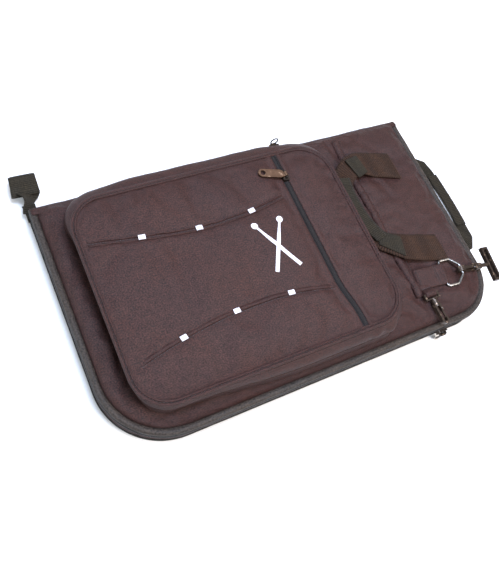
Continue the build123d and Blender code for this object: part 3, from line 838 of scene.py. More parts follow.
def panel_height(grid):
    """Height of the front panel before it is simulated: a rounded skirt, low swellings, puckers
    along its margin and the panel's folds."""
    inset = inset_of(grid, PANEL, PANEL_RADII)
    skirt = (1 - (1 - (inset / 11).clip(0, 1)) ** 2) ** 0.5
    x, y = grid[..., 0], grid[..., 1]
    soft = 0.7 * wander(grid, 34, 4.0) + 0.45 * wander(grid, 13, 6.0)
    hold = ease(inset, 0, 6)
    margin = ease(inset, 0, 5) * (1 - ease(inset, 8, 20))
    puckers = np.abs(wander(grid * [0.55, 0.55, 0], 6, 8.0)) * margin
    beside = ease(tucked(x, y), 0.1, 0.9)
    roll = 2.4 * np.exp(-((inset - 14) / 8) ** 2) - 1.2 * ease(inset, 21, 28)
    over = ease(y, PANEL[3] - 9, PANEL[3])
    folds = sum(high * crease_between(x, y, a, b, wide) for a, b, wide, high in PANEL_FOLDS)
    return (PANEL_TOP - 6.3 + 6.0 * skirt + soft * hold * 0.8 + beside * roll - 3.0 * puckers
            + 1.5 * folds * hold - 3.0 * over ** 2)


# Folds in the front panel: start and end in plan, width in millimetres, relative height.
PANEL_FOLDS = (
    ((228, -12), (196, -4), 4.0, 1.3), ((226, 40), (190, 24), 6.0, 0.7),
    ((222, 108), (196, 100), 5.0, 0.8), ((226, 62), (206, 70), 4.0, 0.6),
    ((205, 14), (168, 20), 6.0, 0.5), ((126, -70), (150, -112), 5.0, 1.0),
    ((116, -92), (136, -122), 4.0, 1.1), ((166, -104), (196, -112), 5.0, 1.0),
    ((170, -118), (214, -96), 4.0, 0.9), ((124, 96), (118, 122), 5.0, 0.8),
    ((160, 112), (178, 92), 5.0, 0.6),
)


def crease_between(x, y, start, end, width):
    """A fold from start to end: 1 along its crest, lower towards its ends."""
    start, end = np.array(start, float), np.array(end, float)
    run = end - start
    t = ((x - start[0]) * run[0] + (y - start[1]) * run[1]) / (run @ run)
    away = np.hypot(x - start[0] - t.clip(0, 1) * run[0], y - start[1] - t.clip(0, 1) * run[1])
    return np.exp(-(away / width) ** 2) * (1 - 0.5 * t.clip(0, 1))


def tucked(x, y):
    """Where the pocket's gusset collapses under its face, 1 on the left and at the near left."""
    return (1 - ease(x, -178, -30)) * (1 - ease(y, 60, 118))


# How far the gusset stands back where it is tucked, in millimetres.
TUCKED_UNDER = 9.5


def front_panel():
    """Padded front panel, held at its border, under the pocket and where things are sewn on."""
    x0, x1, y0, y1 = PANEL
    xs = steps((x0, x0 + 42, 2.8), (x0 + 42, BASE[1] - 6, 7.0), (BASE[1] - 6, x1, 3.6))
    ys = steps((y0, y0 + 32, 2.6), (y0 + 32, y1 - 12, 5.0), (y1 - 12, y1, 2.5))
    grid = rounded_rows((x0, x1, y0, y1), PANEL_RADII + (1, 1), xs, ys)
    grid[..., 2] = panel_height(grid)
    x, y = grid[..., 0], grid[..., 1]
    inset = inset_of(grid, PANEL, PANEL_RADII)
    base = inset_of(grid, BASE, POCKET_R, open_far=False) - TUCKED_UNDER * tucked(x, y)
    under = ease(base, -2.5, 2.5)
    welt = np.exp(-((x - 135) / 3.5) ** 2)
    sewn = bump(x, y, (183, 68), (26, 26)) + bump(x, y, (183, -44), (26, 26)) + bump(
        x, y, (150, -84), (36, 28)) + bump(x, y, (147, -110), (14, 24))
    held = np.maximum.reduce([1 - ease(inset, 1, 5), under, welt, sewn.clip(0, 1),
                              ease(y, y1 - 8, y1 - 2)])
    sheet = lattice("front_panel_pad", grid, NYLON)
    inflated(sheet, held, pressure=3.0, slack=0.03, cap=3.4)
    thickened(sheet, PANEL_THICKNESS)
    return placed(sheet, "front_half", "nylon", "front_cover", "front_foam")


def panel_welt(ground):
    """Raised seam across the panel, with a row of stitches beside it."""
    x0, x1, y0, y1 = plan_of("panel_welt")
    middle = (x0 + x1) / 2
    line = [(middle + 0.8 * sin(y / 17), y) for y in steps((y0, y1, 2.5))]
    crest = ground.under(line)
    section = [(-5.6, -1.4), (-5.2, 0.5), (-3.4, 2.5), (0, 3.4), (3.4, 2.5), (5.2, 0.5),
               (5.6, -1.4)]
    grid = crest[:, None] + np.array([(x, 0, z) for x, z in section])[None]
    grid[..., 2] += 0.25 * wander(grid, 9, 2.0)
    ridge = outwards(lattice("panel_welt_ridge", grid, NYLON, (False, True), capped=True))
    seam = stitched("panel_welt_stitches", crest + [7.2, 0, 0.3], UP, THREAD)
    placed(seam, "front_half", "thread")
    return placed(ridge, "front_half", "nylon", "panel_welt")


# ---- Front pocket -------------------------------------------------------------------
def gusset_rows(levels, bulge, seed, wrinkle=0.7):
    """Rings of the gusset: levels are (share of the way to the face, z, outward push)."""
    base, normals = pocket_path(BASE)
    face, _ = pocket_path(FACE, 3.0)
    rings = []
    for share, z, push in levels:
        plan = base * (1 - share) + face * share - normals * push
        rings.append(np.column_stack([plan, np.full(len(plan), z)]))
    grid = np.stack(rings, axis=1)
    hidden = (1 - np.array([share for share, _, _ in levels])) ** 0.7
    under = TUCKED_UNDER * tucked(grid[..., 0], grid[..., 1]) * hidden[None]
    grid[..., :2] += normals[:, None] * under[..., None]
    reach = np.sin(np.linspace(0, pi, len(levels)))[None] ** 0.8
    soft = wander(grid, 24, seed) + 0.5 * wander(grid, 8, seed + 9)
    push = (wrinkle * soft + bulge(grid[..., 0], grid[..., 1])) * reach
    grid[..., :2] -= normals[:, None] * push[..., None]
    return grid


def pleats(x, y):
    """Folds in the gusset where the pocket's near right corner gathers its cloth."""
    here = bump(x, y, (BASE[1] - 16, BASE[2] + 12), (62, 40))
    return here * 2.4 * np.sin((x - 0.55 * y) / 3.0)


def lower_bulge(x, y):
    """How far the lower gusset swells."""
    return 1.1 + 1.6 * ease(y, 100, 128) + 0.6 * pleats(x, y)


def upper_bulge(x, y):
    """How far the upper gusset swells: most along the far side, where the pocket is full."""
    far = ease(y, 96, 122) * ease(x, -190, -130) * (1 - ease(x, 20, 70))
    return 3.0 + 5.2 * far + pleats(x, y)


def gussets():
    """The pocket's cloth walls below and above its zip."""
    low = span("pocket_gusset_lower")[1][2]
    high = span("pocket_gusset_upper")[0][2]
    top = span("pocket_gusset_upper")[1][2]
    base = PANEL_TOP - 1.2
    lower = gusset_rows([(0, base, 2.6), (0, base + 1.0, 0.9), (0, base + 3.5, 0.3),
                         (0, base + 6.5, 0.2), (0, low, 0)], lower_bulge, 3.3, 0.35)
    wall = thickened(lattice("gusset_lower_wall", lower, NYLON, (True, False)), WALL_THICKNESS)
    placed(wall, "front_half", "nylon", "pocket_gusset_lower")
    count = 7
    upper = gusset_rows([(t, high + (top - high) * t, 0) for t in np.linspace(0, 1, count)],
                        upper_bulge, 6.1, 0.6)
    wall = thickened(lattice("gusset_upper_wall", upper, NYLON, (True, False)), WALL_THICKNESS)
    placed(wall, "pocket_lid", "nylon", "pocket_gusset_upper")


def gusset_zip():
    """The pocket's zip, from its near right corner round the left side to the far right one."""
    points, normals = pocket_path(BASE)
    keep = points[:, 0] < BASE[1] - 12
    first = int(np.argmax(keep & ~np.roll(keep, 1)))
    order = np.roll(np.arange(len(points)), -first)
    order = order[keep[order]]
    under = TUCKED_UNDER * tucked(*points[order].T)
    path = (points[order] + normals[order] * under[:, None], normals[order])
    for node, body, flip in (("gusset_zip_lower", "front_half", False),
                             ("gusset_zip_upper", "pocket_lid", True)):
        low, high = span(node)
        zip_half(node.replace("zip", "chain"), path, (low[2], high[2]), body, node, flip)


def pocket_hinge():
    """Fold of gusset cloth on the pocket's right side, where its face turns up."""
    points, normals = pocket_path(BASE, finer=2)
    keep = (points[:, 0] > BASE[1] - 13) & (normals[:, 0] < -0.1)
    path = (points[keep], normals[keep])
    section = [(1.2, 42.2), (0.1, 42.9), (-0.3, 44.8), (0.1, 46.8), (1.2, 47.6)]
    grid = carried(path, section)
    grid[..., 0] += 0.3 * wander(grid, 11, 7.0)
    sheet = applied(thickened(lattice("pocket_hinge_fold", grid, NYLON), HINGE_THICKNESS))
    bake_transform(sheet)


def zip_x(y):
    """Where the face zip runs: straight, then drawn to the right at its near end."""
    return ZIP_X + 6.0 * (1 - ease(y, -100, -52))


def face_height(grid):
    """Height of the pocket's face before it is simulated."""
    x, y = grid[..., 0], grid[..., 1]
    inset = inset_of(grid, FACE, POCKET_R, open_far=False)
    crown = 1.9 * ease(inset, 0, 40)
    soft = 0.9 * wander(grid, 48, 1.7) + 0.35 * wander(grid, 17, 5.0)
    from_zip = np.abs(x - zip_x(y))
    lip = 1.3 * np.exp(-((from_zip - 6.0) / 2.6) ** 2) - 0.5 * np.exp(-((from_zip - 12) / 4) ** 2)
    return FACE_TOP - 0.5 + (crown + soft) * ease(inset, 0, 12) * ease(from_zip, 5, 26) + lip


TUCK_UPPER = [(-201, 65), (-148, 55.5), (-87, 47.5), (-24, 50.5), (20, 59)]
TUCK_LOWER = [(-196, -69), (-148, -57), (-87, -48.5), (-24, -49), (27, -58.5)]
TACKS_AT = (-148.0, -87.0, -24.0)


def tuck_y(line, x):
    """A tuck's place across the pocket, at places along it."""
    line = smooth_line(line, 3)
    return np.interp(x, line[:, 0], line[:, 1])


def face_part(name, box, radii, xs, node):
    """One panel of the face: held at its rim, beside the zip and along the tucks."""
    y0, y1 = box[2:]
    ys = steps((y0, y0 + 12, 3.0), (y0 + 12, y1 - 12, 4.6), (y1 - 12, y1, 3.0))
    grid = rounded_rows(box, radii, xs, ys)
    shift = zip_x(grid[..., 1]) - ZIP_X
    share = (xs - xs[0]) / (xs[-1] - xs[0])
    grid[..., 0] += shift * (share if node == "pocket_face_main" else 1 - share)[:, None]
    grid[..., 2] = face_height(grid)
    x, y = grid[..., 0], grid[..., 1]
    inset = inset_of(grid, FACE, POCKET_R, open_far=False)
    tuck = np.minimum(np.abs(y - tuck_y(TUCK_UPPER, x)), np.abs(y - tuck_y(TUCK_LOWER, x)))
    tuck = np.where((x < 24) & (x > -204), tuck, 99)
    grid[..., 2] -= 1.3 * np.exp(-(tuck / 4.0) ** 2)
    held = np.maximum.reduce([1 - ease(inset, 1, 6), 1 - ease(np.abs(x - zip_x(y)), 5, 10),
                              1 - ease(tuck, 1, 5)])
    sheet = lattice(name, grid, NYLON)
    inflated(sheet, held, pressure=2.2, slack=0.018, cap=2.2)
    thickened(sheet, FACE_THICKNESS)
    return placed(sheet, "pocket_lid", "nylon", node)


def pocket_face():
    """The face's two panels, left and right of its zip."""
    lip = 3.3
    main = (FACE[0], ZIP_X - lip, FACE[2], FACE[3])
    side = (ZIP_X + lip, FACE[1], FACE[2], FACE[3])

    left = face_part("pocket_face_large", main, (POCKET_R, 0, 0, POCKET_R),
                     steps((main[0], main[0] + 15, 3.0), (main[0] + 15, main[1] - 15, 4.8),
                           (main[1] - 15, main[1], 2.5)), "pocket_face_main")
    right = face_part("pocket_face_small", side, (0, POCKET_R, POCKET_R, 0),
                      steps((side[0], side[0] + 12, 2.4), (side[0] + 12, side[1], 4.0)),
                      "pocket_face_side")
    return left, right


def pocket_piping():
    """Two cords side by side round the face, the outer one fatter."""
    outline = pocket_path(FACE, finer=2)
    turns = 2 * pi * np.arange(10) / 10
    outer = [(-1.5 + 1.75 * cos(t), FACE_TOP - 0.6 + 1.75 * sin(t)) for t in turns]
    inner = [(1.7 + 1.25 * cos(t), FACE_TOP - 0.1 + 1.25 * sin(t)) for t in turns]
    cord = band("piping_outer", outline, uneven(outline, outer, 0.18, 14, 2.0), NYLON, wrap=True)
    placed(cord, "pocket_lid", "nylon", "pocket_piping")
    cord = band("piping_inner", outline, uneven(outline, inner, 0.18, 14, 6.0), NYLON, wrap=True)
    placed(cord, "pocket_lid", "nylon")
    line = carried(outline, [(0.2, FACE_TOP + 0.1)])[:, 0]
    placed(stitched("piping_stitches", line, UP, THREAD, width=0.5), "pocket_lid", "thread")


def divider():
    """Cloth behind the face that makes its slip pocket."""
    box, (low, high) = plan_of("pocket_divider"), span("pocket_divider")
    grid = rounded_rows(box, (POCKET_R,) * 4, steps((box[0], box[1], 8.0)),
                        steps((box[2], box[3], 8.0)))
    inset = inset_of(grid, box, POCKET_R, open_far=False)
    grid[..., 2] = (low[2] + high[2]) / 2 - 1.2 * ease(inset, 4, 60) + 0.4 * wander(grid, 25, 2.0)
    sheet = thickened(lattice("pocket_divider_cloth", grid, LINING), LINING_THICKNESS)
    return placed(sheet, "pocket_lid", "lining", "pocket_divider")


def face_zip():
    """Tape and coils of the face zip; past the slider the two coils stand apart."""
    y0, y1 = plan_of("face_zip_teeth")[2:]
    (_, _, low), (_, _, high) = span("face_zip_tape")
    ys = steps((y0, y1, 3.0))
    left = np.column_stack([zip_x(ys) - 6.5, ys, np.full(len(ys), (low + high) / 2)])
    right = left + [13.0, 0, 0]
    tape = ribbon("face_zip_cloth", left, right, UP, high - low - 0.1, TAPE, step=2.5)
    placed(tape, "pocket_lid", "zip_tape", "face_zip_tape")
    ys = np.arange(y0, y1, 1.5)
    open_by = 1.3 * ease(ys, SLIDER_Y, SLIDER_Y + 12)
    parts = []
    for sign in (-1, 1):
        centres = np.column_stack([zip_x(ys) + sign * (0.9 + open_by), ys + sign * 0.38,
                                   np.full(len(ys), high + 0.75)])
        parts.append(beads("teeth", centres, (1, 0, 0), UP, (2.9, 1.15, 1.5), COIL))
    return placed(joined("face_zip_coils", parts), "pocket_lid", "zip_coil", "face_zip_teeth")


def ridge(name, ground, line, section, material):
    """A closed section of (across, up) carried along a line laid on the ground."""
    plan = resample(smooth_line(line, 3), 2.0)
    crest = ground.under(plan)
    along = unit(np.gradient(crest[:, :2], axis=0))
    across = np.column_stack([-along[:, 1], along[:, 0], np.zeros(len(along))])
    fade = ease(np.arange(len(crest)), 0, 5) * ease(-np.arange(len(crest)), 1 - len(crest),
                                                    6 - len(crest))
    section = np.asarray(section, float)
    heights = np.where(section[:, 1] > 0, section[:, 1][None] * (0.25 + 0.75 * fade)[:, None],
                       section[:, 1][None])
    grid = crest[:, None] + across[:, None] * section[None, :, :1] + UP * heights[..., None]
    grid[..., 2] += 0.15 * wander(grid, 7, 4.0)
    return outwards(lattice(name, grid, material, (False, True), capped=True))


def tucks(ground):
    """Two tucks: the upper one is a pair of ridges, the lower one a single lapped fold."""
    rib = [(-1.1, -0.8), (-1.3, 0.5), (-0.7, 1.6), (0, 1.9), (0.7, 1.6), (1.3, 0.5), (1.1, -0.8)]
    parts = []
    for offset in (-2.2, 2.2):
        line = [(x, y + offset) for x, y in TUCK_UPPER]
        parts.append(ridge("rib", ground, line, rib, NYLON))
    placed(joined("tuck_upper_ridges", parts), "pocket_lid", "nylon", "upper_tuck")
    lap = [(-1.2, -0.8), (-1.7, 0.6), (-1.2, 2.0), (0, 2.3), (1.8, 1.5), (3.6, 0.4), (3.8, -0.8)]
    fold = ridge("tuck_lower_fold", ground, TUCK_LOWER, lap, NYLON)
    placed(fold, "pocket_lid", "nylon", "lower_tuck")
    for name, tuck, offset in (("upper", TUCK_UPPER, 0.0), ("lower", TUCK_LOWER, -2.4)):
        line = [(x, y + offset) for x, y in tuck]
        seam = ground.under(resample(smooth_line(line, 3), 2.0), 0.25)
        placed(stitched(f"tuck_{name}_stitches", seam, UP, THREAD), "pocket_lid", "thread")


def bar_tacks(ground):
    """Six white bar tacks, each a block of close threads across its tuck."""
    centres, along = [], []
    for line in (TUCK_UPPER, TUCK_LOWER):
        for x in TACKS_AT:
            y = float(tuck_y(line, x))
            turn = np.arctan2(float(tuck_y(line, x + 3)) - float(tuck_y(line, x - 3)), 6)
            lengthwise = np.array([cos(turn), sin(turn), 0])
            thread = np.array([-sin(turn), cos(turn), 0])
            for k in np.arange(-3.3, 3.4, 0.66):
                place = np.array([x, y, 0]) + lengthwise * k
                height = max(ground.height(*(place + thread * t)[:2]) for t in (-2.2, 0, 2.2))
                centres.append((place[0], place[1], height + 1.75))
                along.append(thread + UP * 0.03 * (1 if len(centres) % 2 else -1))
    threads = beads("bar_tack_threads", centres, np.array(along), UP, (5.6, 0.85, 0.9),
                    WHITE_THREAD)
    return placed(threads, "pocket_lid", "thread", "bar_tacks")


def emblem(ground):
    """Badge of two crossed drumsticks in satin stitch."""
    low, high = span("emblem")
    middle = (low + high) / 2
    centres, along, size = [], [], []
    for layer, turn in enumerate((62, 118)):
        axis = np.array([cos(radians(turn)), sin(radians(turn)), 0])
        thread = np.array([-axis[1], axis[0], 0])
        for k in np.arange(-31, 37.4, 0.62):
            taper = 4.6 - 1.9 * ease(k, 4, 29)
            tip = 2 * (3.9 ** 2 - (k - 33) ** 2).clip(0) ** 0.5 if abs(k - 33) < 3.9 else 0
            width = max(taper if k < 31 else 0, tip)
            if width < 0.8:
                continue
            place = middle + axis * k
            lift = 0.32 + 0.42 * layer * (1 - ease(abs(k), 3, 9))
            centres.append((*place[:2], ground.height(*place[:2]) + lift))
            along.append(thread)
            size.append(width)
    threads = beads("emblem_threads", centres, np.array(along), UP, (np.array(size), 0.8, 0.75),
                    WHITE_THREAD)
    return placed(threads, "pocket_lid", "thread", "emblem")


# ---- Handles ------------------------------------------------------------------------
def box_stitching(name, plan, ground, body):
    """A sewn box with a cross inside it, on the ground; plan is its four corners in order."""
    a, b, c, d = (np.array(corner, float) for corner in plan)
    parts = []
    for line in ((a, b, c, d, a), (a, c), (b, d)):
        flat = resample(np.array(line), 2.0)
        parts.append(stitched("run", ground.under(flat, 0.3), UP, THREAD, pitch=3.0, length=2.2))
    return placed(joined(name, parts), body, "thread")


HANDLE_OUTER = [(0, 77), (38, 76), (52, 72), (70, 61), (84, 46), (90, 24), (91, -20), (89, -48),
                (81, -66), (57, -80), (34, -80.5), (0, -80.5)]
HANDLE_INNER = [(0, 39), (36, 40), (50, 41), (60, 37), (69, 29), (75, 16), (73, -14), (69, -34),
                (63, -44), (51, -45.5), (30, -44.5), (0, -44.5)]


def front_handle():
    """Front handle: ribbed legs folded at the corners into a grip that lies by the pocket."""
    low, high = span("front_handle")
    ends = span("front_handle_anchors")
    middle_y = (ends[0][1] + ends[1][1]) / 2

    def set_down(plan):
        out, y = plan[:, 0], plan[:, 1]
        rise = 0.9 + 4.4 * ease(out, 30, 52) - 3.2 * ease(out, 58, 84)
        rise += 7.5 * bump(out, y, (68, 52), (24, 22)) + 2.2 * bump(out, y, (70, -58), (22, 20))
        return np.column_stack([high[0] - out, middle_y + y + 0.3 * out, low[2] + rise])

    outer, inner = (set_down(np.array(edge, float)) for edge in (HANDLE_OUTER, HANDLE_INNER))
    loop = ribbon("front_handle_webbing", outer, inner, UP, 1.8, STRAP, rib=0.36, pitch=2.8)
    placed(loop, "front_handle", "webbing", "front_handle")
    line = [(79, 34), (82.5, 14), (82.5, -12), (79, -34), (73, -52)]
    centre = resample(smooth_line(set_down(np.array(line, float))), 2.0) + [0, 0, 1.9]
    along = unit(np.gradient(centre, axis=0))
    across = unit(np.cross(UP, along))
    grip = ribbon("front_grip_fold", centre - across * 8.6, centre + across * 8.6, UP, 3.0,
                  STRAP_DARK, rib=0.2, pitch=2.0)
    placed(grip, "front_handle", "webbing")
    seam = centre + across * 6.2 + UP * 1.6
    placed(stitched("front_grip_stitches", seam, UP, THREAD, pitch=3.2), "front_handle", "thread")
    folds = {"far": [(48, 68), (70, 56), (60, 34), (44, 44)],
             "near": [(56, -77), (80, -60), (72, -40), (50, -50)]}
    for name, corners in folds.items():
        a, b, c, d = set_down(np.array(corners, float)) + [0, 0, 1.7]
        flap = ribbon(f"front_{name}_corner_fold", np.array([a, b]), np.array([d, c]), UP, 1.4,
                      STRAP_DARK, rib=0.2, pitch=2.0)
        placed(flap, "front_handle", "webbing")


def front_anchors(ground):
    """The handle's ends, sewn flat to the panel with boxed crosses."""
    (x0, y0, _), (x1, y1, _) = span("front_handle_anchors")
    middles = (y1 - 17, y0 + 17)
    parts = []
    for middle in middles:
        xs = steps((x0 + 1, x1 + 1.5, 2.0))
        left = ground.under([(x, middle - 14 + 0.3 * (x1 - x)) for x in xs], 0.6)
        right = ground.under([(x, middle + 14 + 0.3 * (x1 - x)) for x in xs], 0.6)
        parts.append(ribbon("end", left, right, UP, 1.7, STRAP, rib=0.3))
    ends = joined("front_handle_ends", parts)
    cover = Ground(ends)
    placed(ends, "front_half", "webbing", "front_handle_anchors")
    for number, middle in enumerate(middles):
        near, far = middle - 14, middle + 14
        plan = [(x0 + 4, near), (x1 - 3, near), (x1 - 3, far), (x0 + 4, far)]
        box_stitching(f"front_end_stitches_{number}", plan, cover, "front_half")


def back_handle():
    """Back handle on the floor past the edge: mitred corners and a bowed, folded grip."""
    low, high = span("back_handle")
    middle_y = (low[1] + high[1]) / 2
    outer = [(0, 75), (10, 76), (18, 74), (30, 64), (34, 48), (36, 20), (37.5, -10), (36, -40),
             (34.5, -58), (26, -72), (12, -75), (0, -74)]
    inner = [(0, 38), (9, 40), (15, 38), (20, 30), (22.5, 20), (24, 8), (24.5, -10), (23, -24),
             (19, -36), (13, -40), (6, -40), (0, -38)]

    def set_down(plan):
        out, y = plan[:, 0], plan[:, 1]
        curl = 3.0 * bump(out, y, (26, -54), (16, 22)) + 2.0 * bump(out, y, (24, 54), (16, 22))
        return np.column_stack([low[0] + out, middle_y + y, 1.4 + curl])

    edges = (set_down(np.array(edge, float)) for edge in (outer, inner))
    loop = ribbon("back_handle_webbing", *edges, UP, 1.8, STRAP_DARK, rib=0.3, pitch=2.6)
    placed(loop, "back_handle", "webbing", "back_handle")
    line = [(27.5, 40), (29, 16), (29.5, -10), (28, -38)]
    centre = resample(smooth_line(set_down(np.array(line, float))), 2.0) + [0, 0, 1.8]
    along = unit(np.gradient(centre, axis=0))
    across = unit(np.cross(along, UP))
    grip = ribbon("back_grip_fold", centre - across * 7.4, centre + across * 7.0, UP, 2.6,
                  STRAP_DARK, rib=0.18, pitch=1.9)
    placed(grip, "back_handle", "webbing")
    seam = centre - across * 5.2 + UP * 1.4
    placed(stitched("back_grip_stitches", seam, UP, THREAD, pitch=3.2), "back_handle", "thread")


def back_anchors():
    """The back handle's ends, let into the back panel."""
    (x0, y0, low), (x1, y1, high) = span("back_handle_anchors")
    parts = []
    for middle in (y1 - 18, y0 + 18):
        xs = np.array([x0, x1])
        level = (low + high) / 2 + 0.1
        left = np.column_stack([xs, np.full(2, middle - 17.8), np.full(2, level)])
        right = left + [0, 35.6, 0]
        parts.append(ribbon("end", left, right, UP, high - low - 0.4, STRAP_DARK, rib=0.1))
    return placed(joined("back_handle_ends", parts), "back_half", "webbing", "back_handle_anchors")


# ---- D-ring tab and hook tab --------------------------------------------------------
def joint_place(name):
    """A joint's origin in millimetres and its axis."""
    joint = next(j for j in frame["joints"] if j["name"] == name)
    return np.array(joint["pos_m"]) / MM, unit(joint["axis"])


def wrapped_tab(name, origin, outwards_x, across_y, width, length, low, wrap_r, body, node, seed):
    """Cloth strap folded round a bar at the origin; it runs back from the bar along -x."""
    base = [(-length, low), (-length * 0.5, low + 0.1), (-5, low + 0.2)]
    turns = np.linspace(-115, 128, 14)
    wrap = [(wrap_r * cos(radians(t)), wrap_r * sin(radians(t))) for t in turns]
    top = [(-7, low + 4.1), (-length * 0.4, low + 3.6), (-length * 0.8, low + 3.0),
           (-length, low + 1.6)]
    section = smooth_line(np.array(base + wrap + top, float), 1)
    rows = []
    for t in np.linspace(-1, 1, 17):
        pinch = 1 - 0.16 * abs(t) ** 5
        rows.append([origin + outwards_x * x + across_y * (width / 2 * t)
                     + UP * ((z - low) * pinch + low) for x, z in section])
    grid = np.array(rows)
    soft = wander(grid, 9, seed) * 0.35
    far = ease(-(grid - origin) @ outwards_x, 2, 12)
    grid = grid + UP * (soft * far)[..., None]
    strap = outwards(lattice(name, grid, NYLON, (False, True), capped=True))
    return placed(strap, body, "nylon", node)


def ring_tab():
    """Strap that holds the D-ring, with its cross seams."""
    origin, axis = joint_place("d_ring_lift")
    across = -axis
    along = np.array([across[1], -across[0], 0])
    low = PANEL_TOP - origin[2] + 0.1
    tab = wrapped_tab("ring_tab_strap", origin, along, across, 25.5, 37, low, 3.5, "front_half",
                      "d_ring_tab", 1.0)
    cover = Ground(tab)
    for number, back in enumerate((7.5, 10.0, 33.0)):
        line = [origin - along * back + across * t for t in np.linspace(-11.5, 11.5, 16)]
        seam = cover.under(line, 0.15)
        placed(stitched(f"ring_tab_stitches_{number}", seam, UP, THREAD, pitch=2.6, length=2.0),
               "front_half", "thread")


def hook_tab():
    """Short strap at the end of the panel seam, folded round the second hook's eye."""
    origin, _ = joint_place("hook2_lift")
    low = PANEL_TOP - origin[2] + 0.2
    x, y = np.array([0.0, -1, 0]), np.array([1.0, 0, 0])
    tab = wrapped_tab("hook_tab_strap", origin, x, y, 14.5, 15.5, low, 4.1, "front_half",
                      "hook2_tab", 5.0)
    cover = Ground(tab)
    seam = cover.under([origin + [t, 8.0, 0] for t in np.linspace(-6, 6, 9)], 0.15)
    stitches = stitched("hook_tab_stitches", seam, UP, THREAD, pitch=2.4, length=1.9)
    placed(stitches, "front_half", "thread")


# ---- Corner loop --------------------------------------------------------------------
def corner_loop():
    """Webbing loop at the spine's corner: a wide flattened eye on a twisted stem."""
    origin, _ = joint_place("corner_loop_sway")
    low, high = span("corner_loop")
    along = unit(np.array([cos(radians(85)), sin(radians(85)), 0]))
    across = np.array([-along[1], along[0], 0])
    half = 3.9
    eye = [(14, -0.6), (17, -2.4), (22, -half), (31, -half - 0.2), (36, -half + 0.5),
           (38.4, -1.8), (38.8, 0.6), (37.6, 3.0), (34, half + 0.5), (26, half + 0.9),
           (19, half - 0.4), (15.5, 1.8), (13.6, 0.6)]
    line = smooth_line(np.array(eye, float), 3)
    centre = origin + along * line[:, :1] + UP * line[:, 1:]
    flare = 1 + 0.035 * np.sin(line[:, 0] / 7)[:, None]
    tangent = unit(np.gradient(centre, axis=0))
    face = unit(np.cross(tangent, across))
    skew = along * 0.9
    loop = turned_ribbon("corner_loop_eye", centre - across * 14.6 * flare + skew,
                         centre + across * 14.6 * flare - skew, face, 1.7, STRAP_DARK, 0.28, 1.9)
    placed(loop, "corner_loop", "webbing", "corner_loop")
    t = np.linspace(0, 1, 40)[:, None]
    stem = origin + along * (-8 + 26 * t) + UP * (1.2 * np.sin(t * pi) - 0.3) - across * 2.5 * t
    twist = radians(58) * np.sin(t * pi)
    side = across * np.cos(twist) + UP * np.sin(twist)
    wide = 7.4 + 5.6 * ease(t, 0.3, 1.0)
    face = unit(np.cross(unit(np.gradient(stem, axis=0)), side))
    strap = turned_ribbon("corner_loop_stem", stem - side * wide, stem + side * wide, face, 2.4,
                          STRAP_DARK, 0.25, 1.9)
    return placed(strap, "corner_loop", "webbing")


def turned_ribbon(name, left, right, face, thickness, material, rib, pitch):
    """A ribbon whose face turns along its length."""
    rows = resample(np.hstack([left, right, face]), 0.8)
    return ribbon(name, rows[:, :3], rows[:, 3:6], unit(rows[:, 6:]), thickness, material, rib=rib,
                  pitch=pitch, step=None)


def loop_anchor():
    """The loop's end where it is sewn into the corner of the spine."""
    (x0, y0, z0), (x1, y1, z1) = span("corner_loop_anchor")
    middle = (x0 + x1) / 2 + 0.5
    ys = np.linspace(y0 - 6, y1 - 4, 12)
    wide = 6.0 + 1.2 * ease(ys, y0, y1)
    left = np.column_stack([middle - wide, ys, np.full(12, (z0 + z1) / 2)])
    right = np.column_stack([middle + wide, ys, np.full(12, (z0 + z1) / 2)])
    return placed(ribbon("corner_loop_end", left, right, UP, 1.5, STRAP_DARK, rib=0.2), "back_half",
                  "webbing", "corner_loop_anchor")


# ---- Stage --------------------------------------------------------------------------
def floor():
    """Plain pale floor, far larger than the view."""
    mesh = bpy.data.meshes.new("floor")
    size = 6.0
    mesh.from_pydata([(-size, -size, 0), (size, -size, 0), (size, size, 0), (-size, size, 0)], [],
                     [(0, 1, 2, 3)])
    s = Shading("floor_paper", "Object", Specular_IOR_Level=0.1)
    grain = s.noise(3.0, detail=2.0)
    material = s.done(s.ramp(grain, (0.3, (0.90, 0.90, 0.895)), (0.7, (0.93, 0.93, 0.925))),
                      s.between(grain, 0.85, 0.95), grain, 0.02)
    ground = finished("floor", mesh, material, smooth=False)


def soft_light(name, place, target, size, power, colour):
    """A large square lamp that looks at a point."""
    light = bpy.data.lights.new(name, "AREA")
    light.size, light.energy, light.color = size, power, colour
    lamp = bpy.data.objects.new(name, light)
    lamp.location = place
    lamp.rotation_mode = "QUATERNION"
    lamp.rotation_quaternion = (Vector(target) - Vector(place)).to_track_quat("-Z", "Y")
    bpy.context.scene.collection.objects.link(lamp)


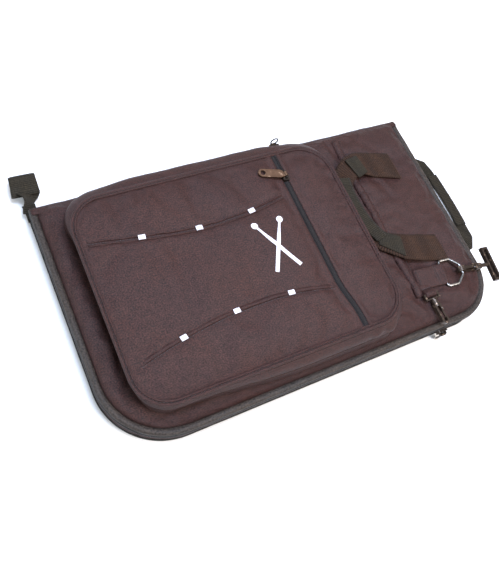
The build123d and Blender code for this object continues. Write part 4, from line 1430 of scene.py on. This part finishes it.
def lights():
    """A warm lamp at the near right, a cool ceiling, a cool window on the left, a warm wall at
    the far right and a white room."""
    soft_light("lamp", (0.45, -0.85, 1.2), (0, 0, 0), 0.6, 19, (1.0, 0.90, 0.82))
    soft_light("ceiling", (-0.02, 0.05, 1.3), (0, 0, 0), 0.5, 25, (0.68, 0.78, 1.0))
    soft_light("window", (-1.4, 0.1, 0.8), (0, 0, 0), 0.8, 12, (0.80, 0.89, 1.0))
    soft_light("wall", (1.1, 1.3, 0.9), (0, 0, 0), 1.0, 6, (1.0, 0.74, 0.64))
    world = bpy.data.worlds.new("room")
    world.use_nodes = True
    world.node_tree.nodes["Background"].inputs["Color"].default_value = (1, 1, 1, 1)
    world.node_tree.nodes["Background"].inputs["Strength"].default_value = 0.36
    bpy.context.scene.world = world
    bpy.context.scene.view_settings.view_transform = "Standard"


def camera():
    """The photographer's place: above the closed end's near corner, looking down and right."""
    data = bpy.data.cameras.new("camera")
    data.sensor_width, data.lens = 36.0, 40.28
    data.clip_start, data.clip_end = 0.01, 20
    right, up, ahead = (Vector(row).normalized() for row in (
        (0.8808, -0.4070, 0.2419), (0.2879, 0.8660, 0.4088), (0.3758, 0.2905, -0.8800)))
    view = bpy.data.objects.new("camera", data)
    turn = Matrix((right, up, -ahead)).transposed().to_4x4()
    view.matrix_world = Matrix.Translation((-0.3039, -0.2116, 0.6299)) @ turn
    bpy.context.scene.collection.objects.link(view)
    bpy.context.scene.camera = view


# ---- The bag ------------------------------------------------------------------------
camera()
lights()
floor()

back_binding()
side_wall("back_side_wall", "back_half", "back_wall", 6.5, 15.6, 2.0)
back_panel()
back_anchors()
inside("back", 4, True, 4.0)
main_zip()

side_wall("front_side_wall", "front_half", "front_wall", 19.2, 24.0, 6.0)
edge_piping()
front_border()
panel = front_panel()
inside("front", 3, False, 8.0)
spine()
panel_top = Ground(panel)
panel_welt(panel_top)

gussets()
gusset_zip()
pocket_hinge()
pocket_piping()
divider()
face_zip()
face_top = Ground(*pocket_face())
tucks(face_top)
bar_tacks(face_top)
emblem(face_top)

front_anchors(panel_top)
front_handle()
back_handle()
ring_tab()
hook_tab()
corner_loop()
loop_anchor()

painted(SLIDER, "slider_metal", "main_slider", "main_pull", "face_slider", "gusset_slider",
        "gusset_pull")
painted(BRASS, "brass", "face_pull")
painted(STEEL, "steel", "d_ring")
painted(HOOK, "hook_metal", "hook1_body", "hook1_gate", "hook1_eye", "hook2_body", "hook2_gate",
        "hook2_eye")
painted(RIVET, "rivet", "hook1_gate_pin", "hook2_gate_pin")
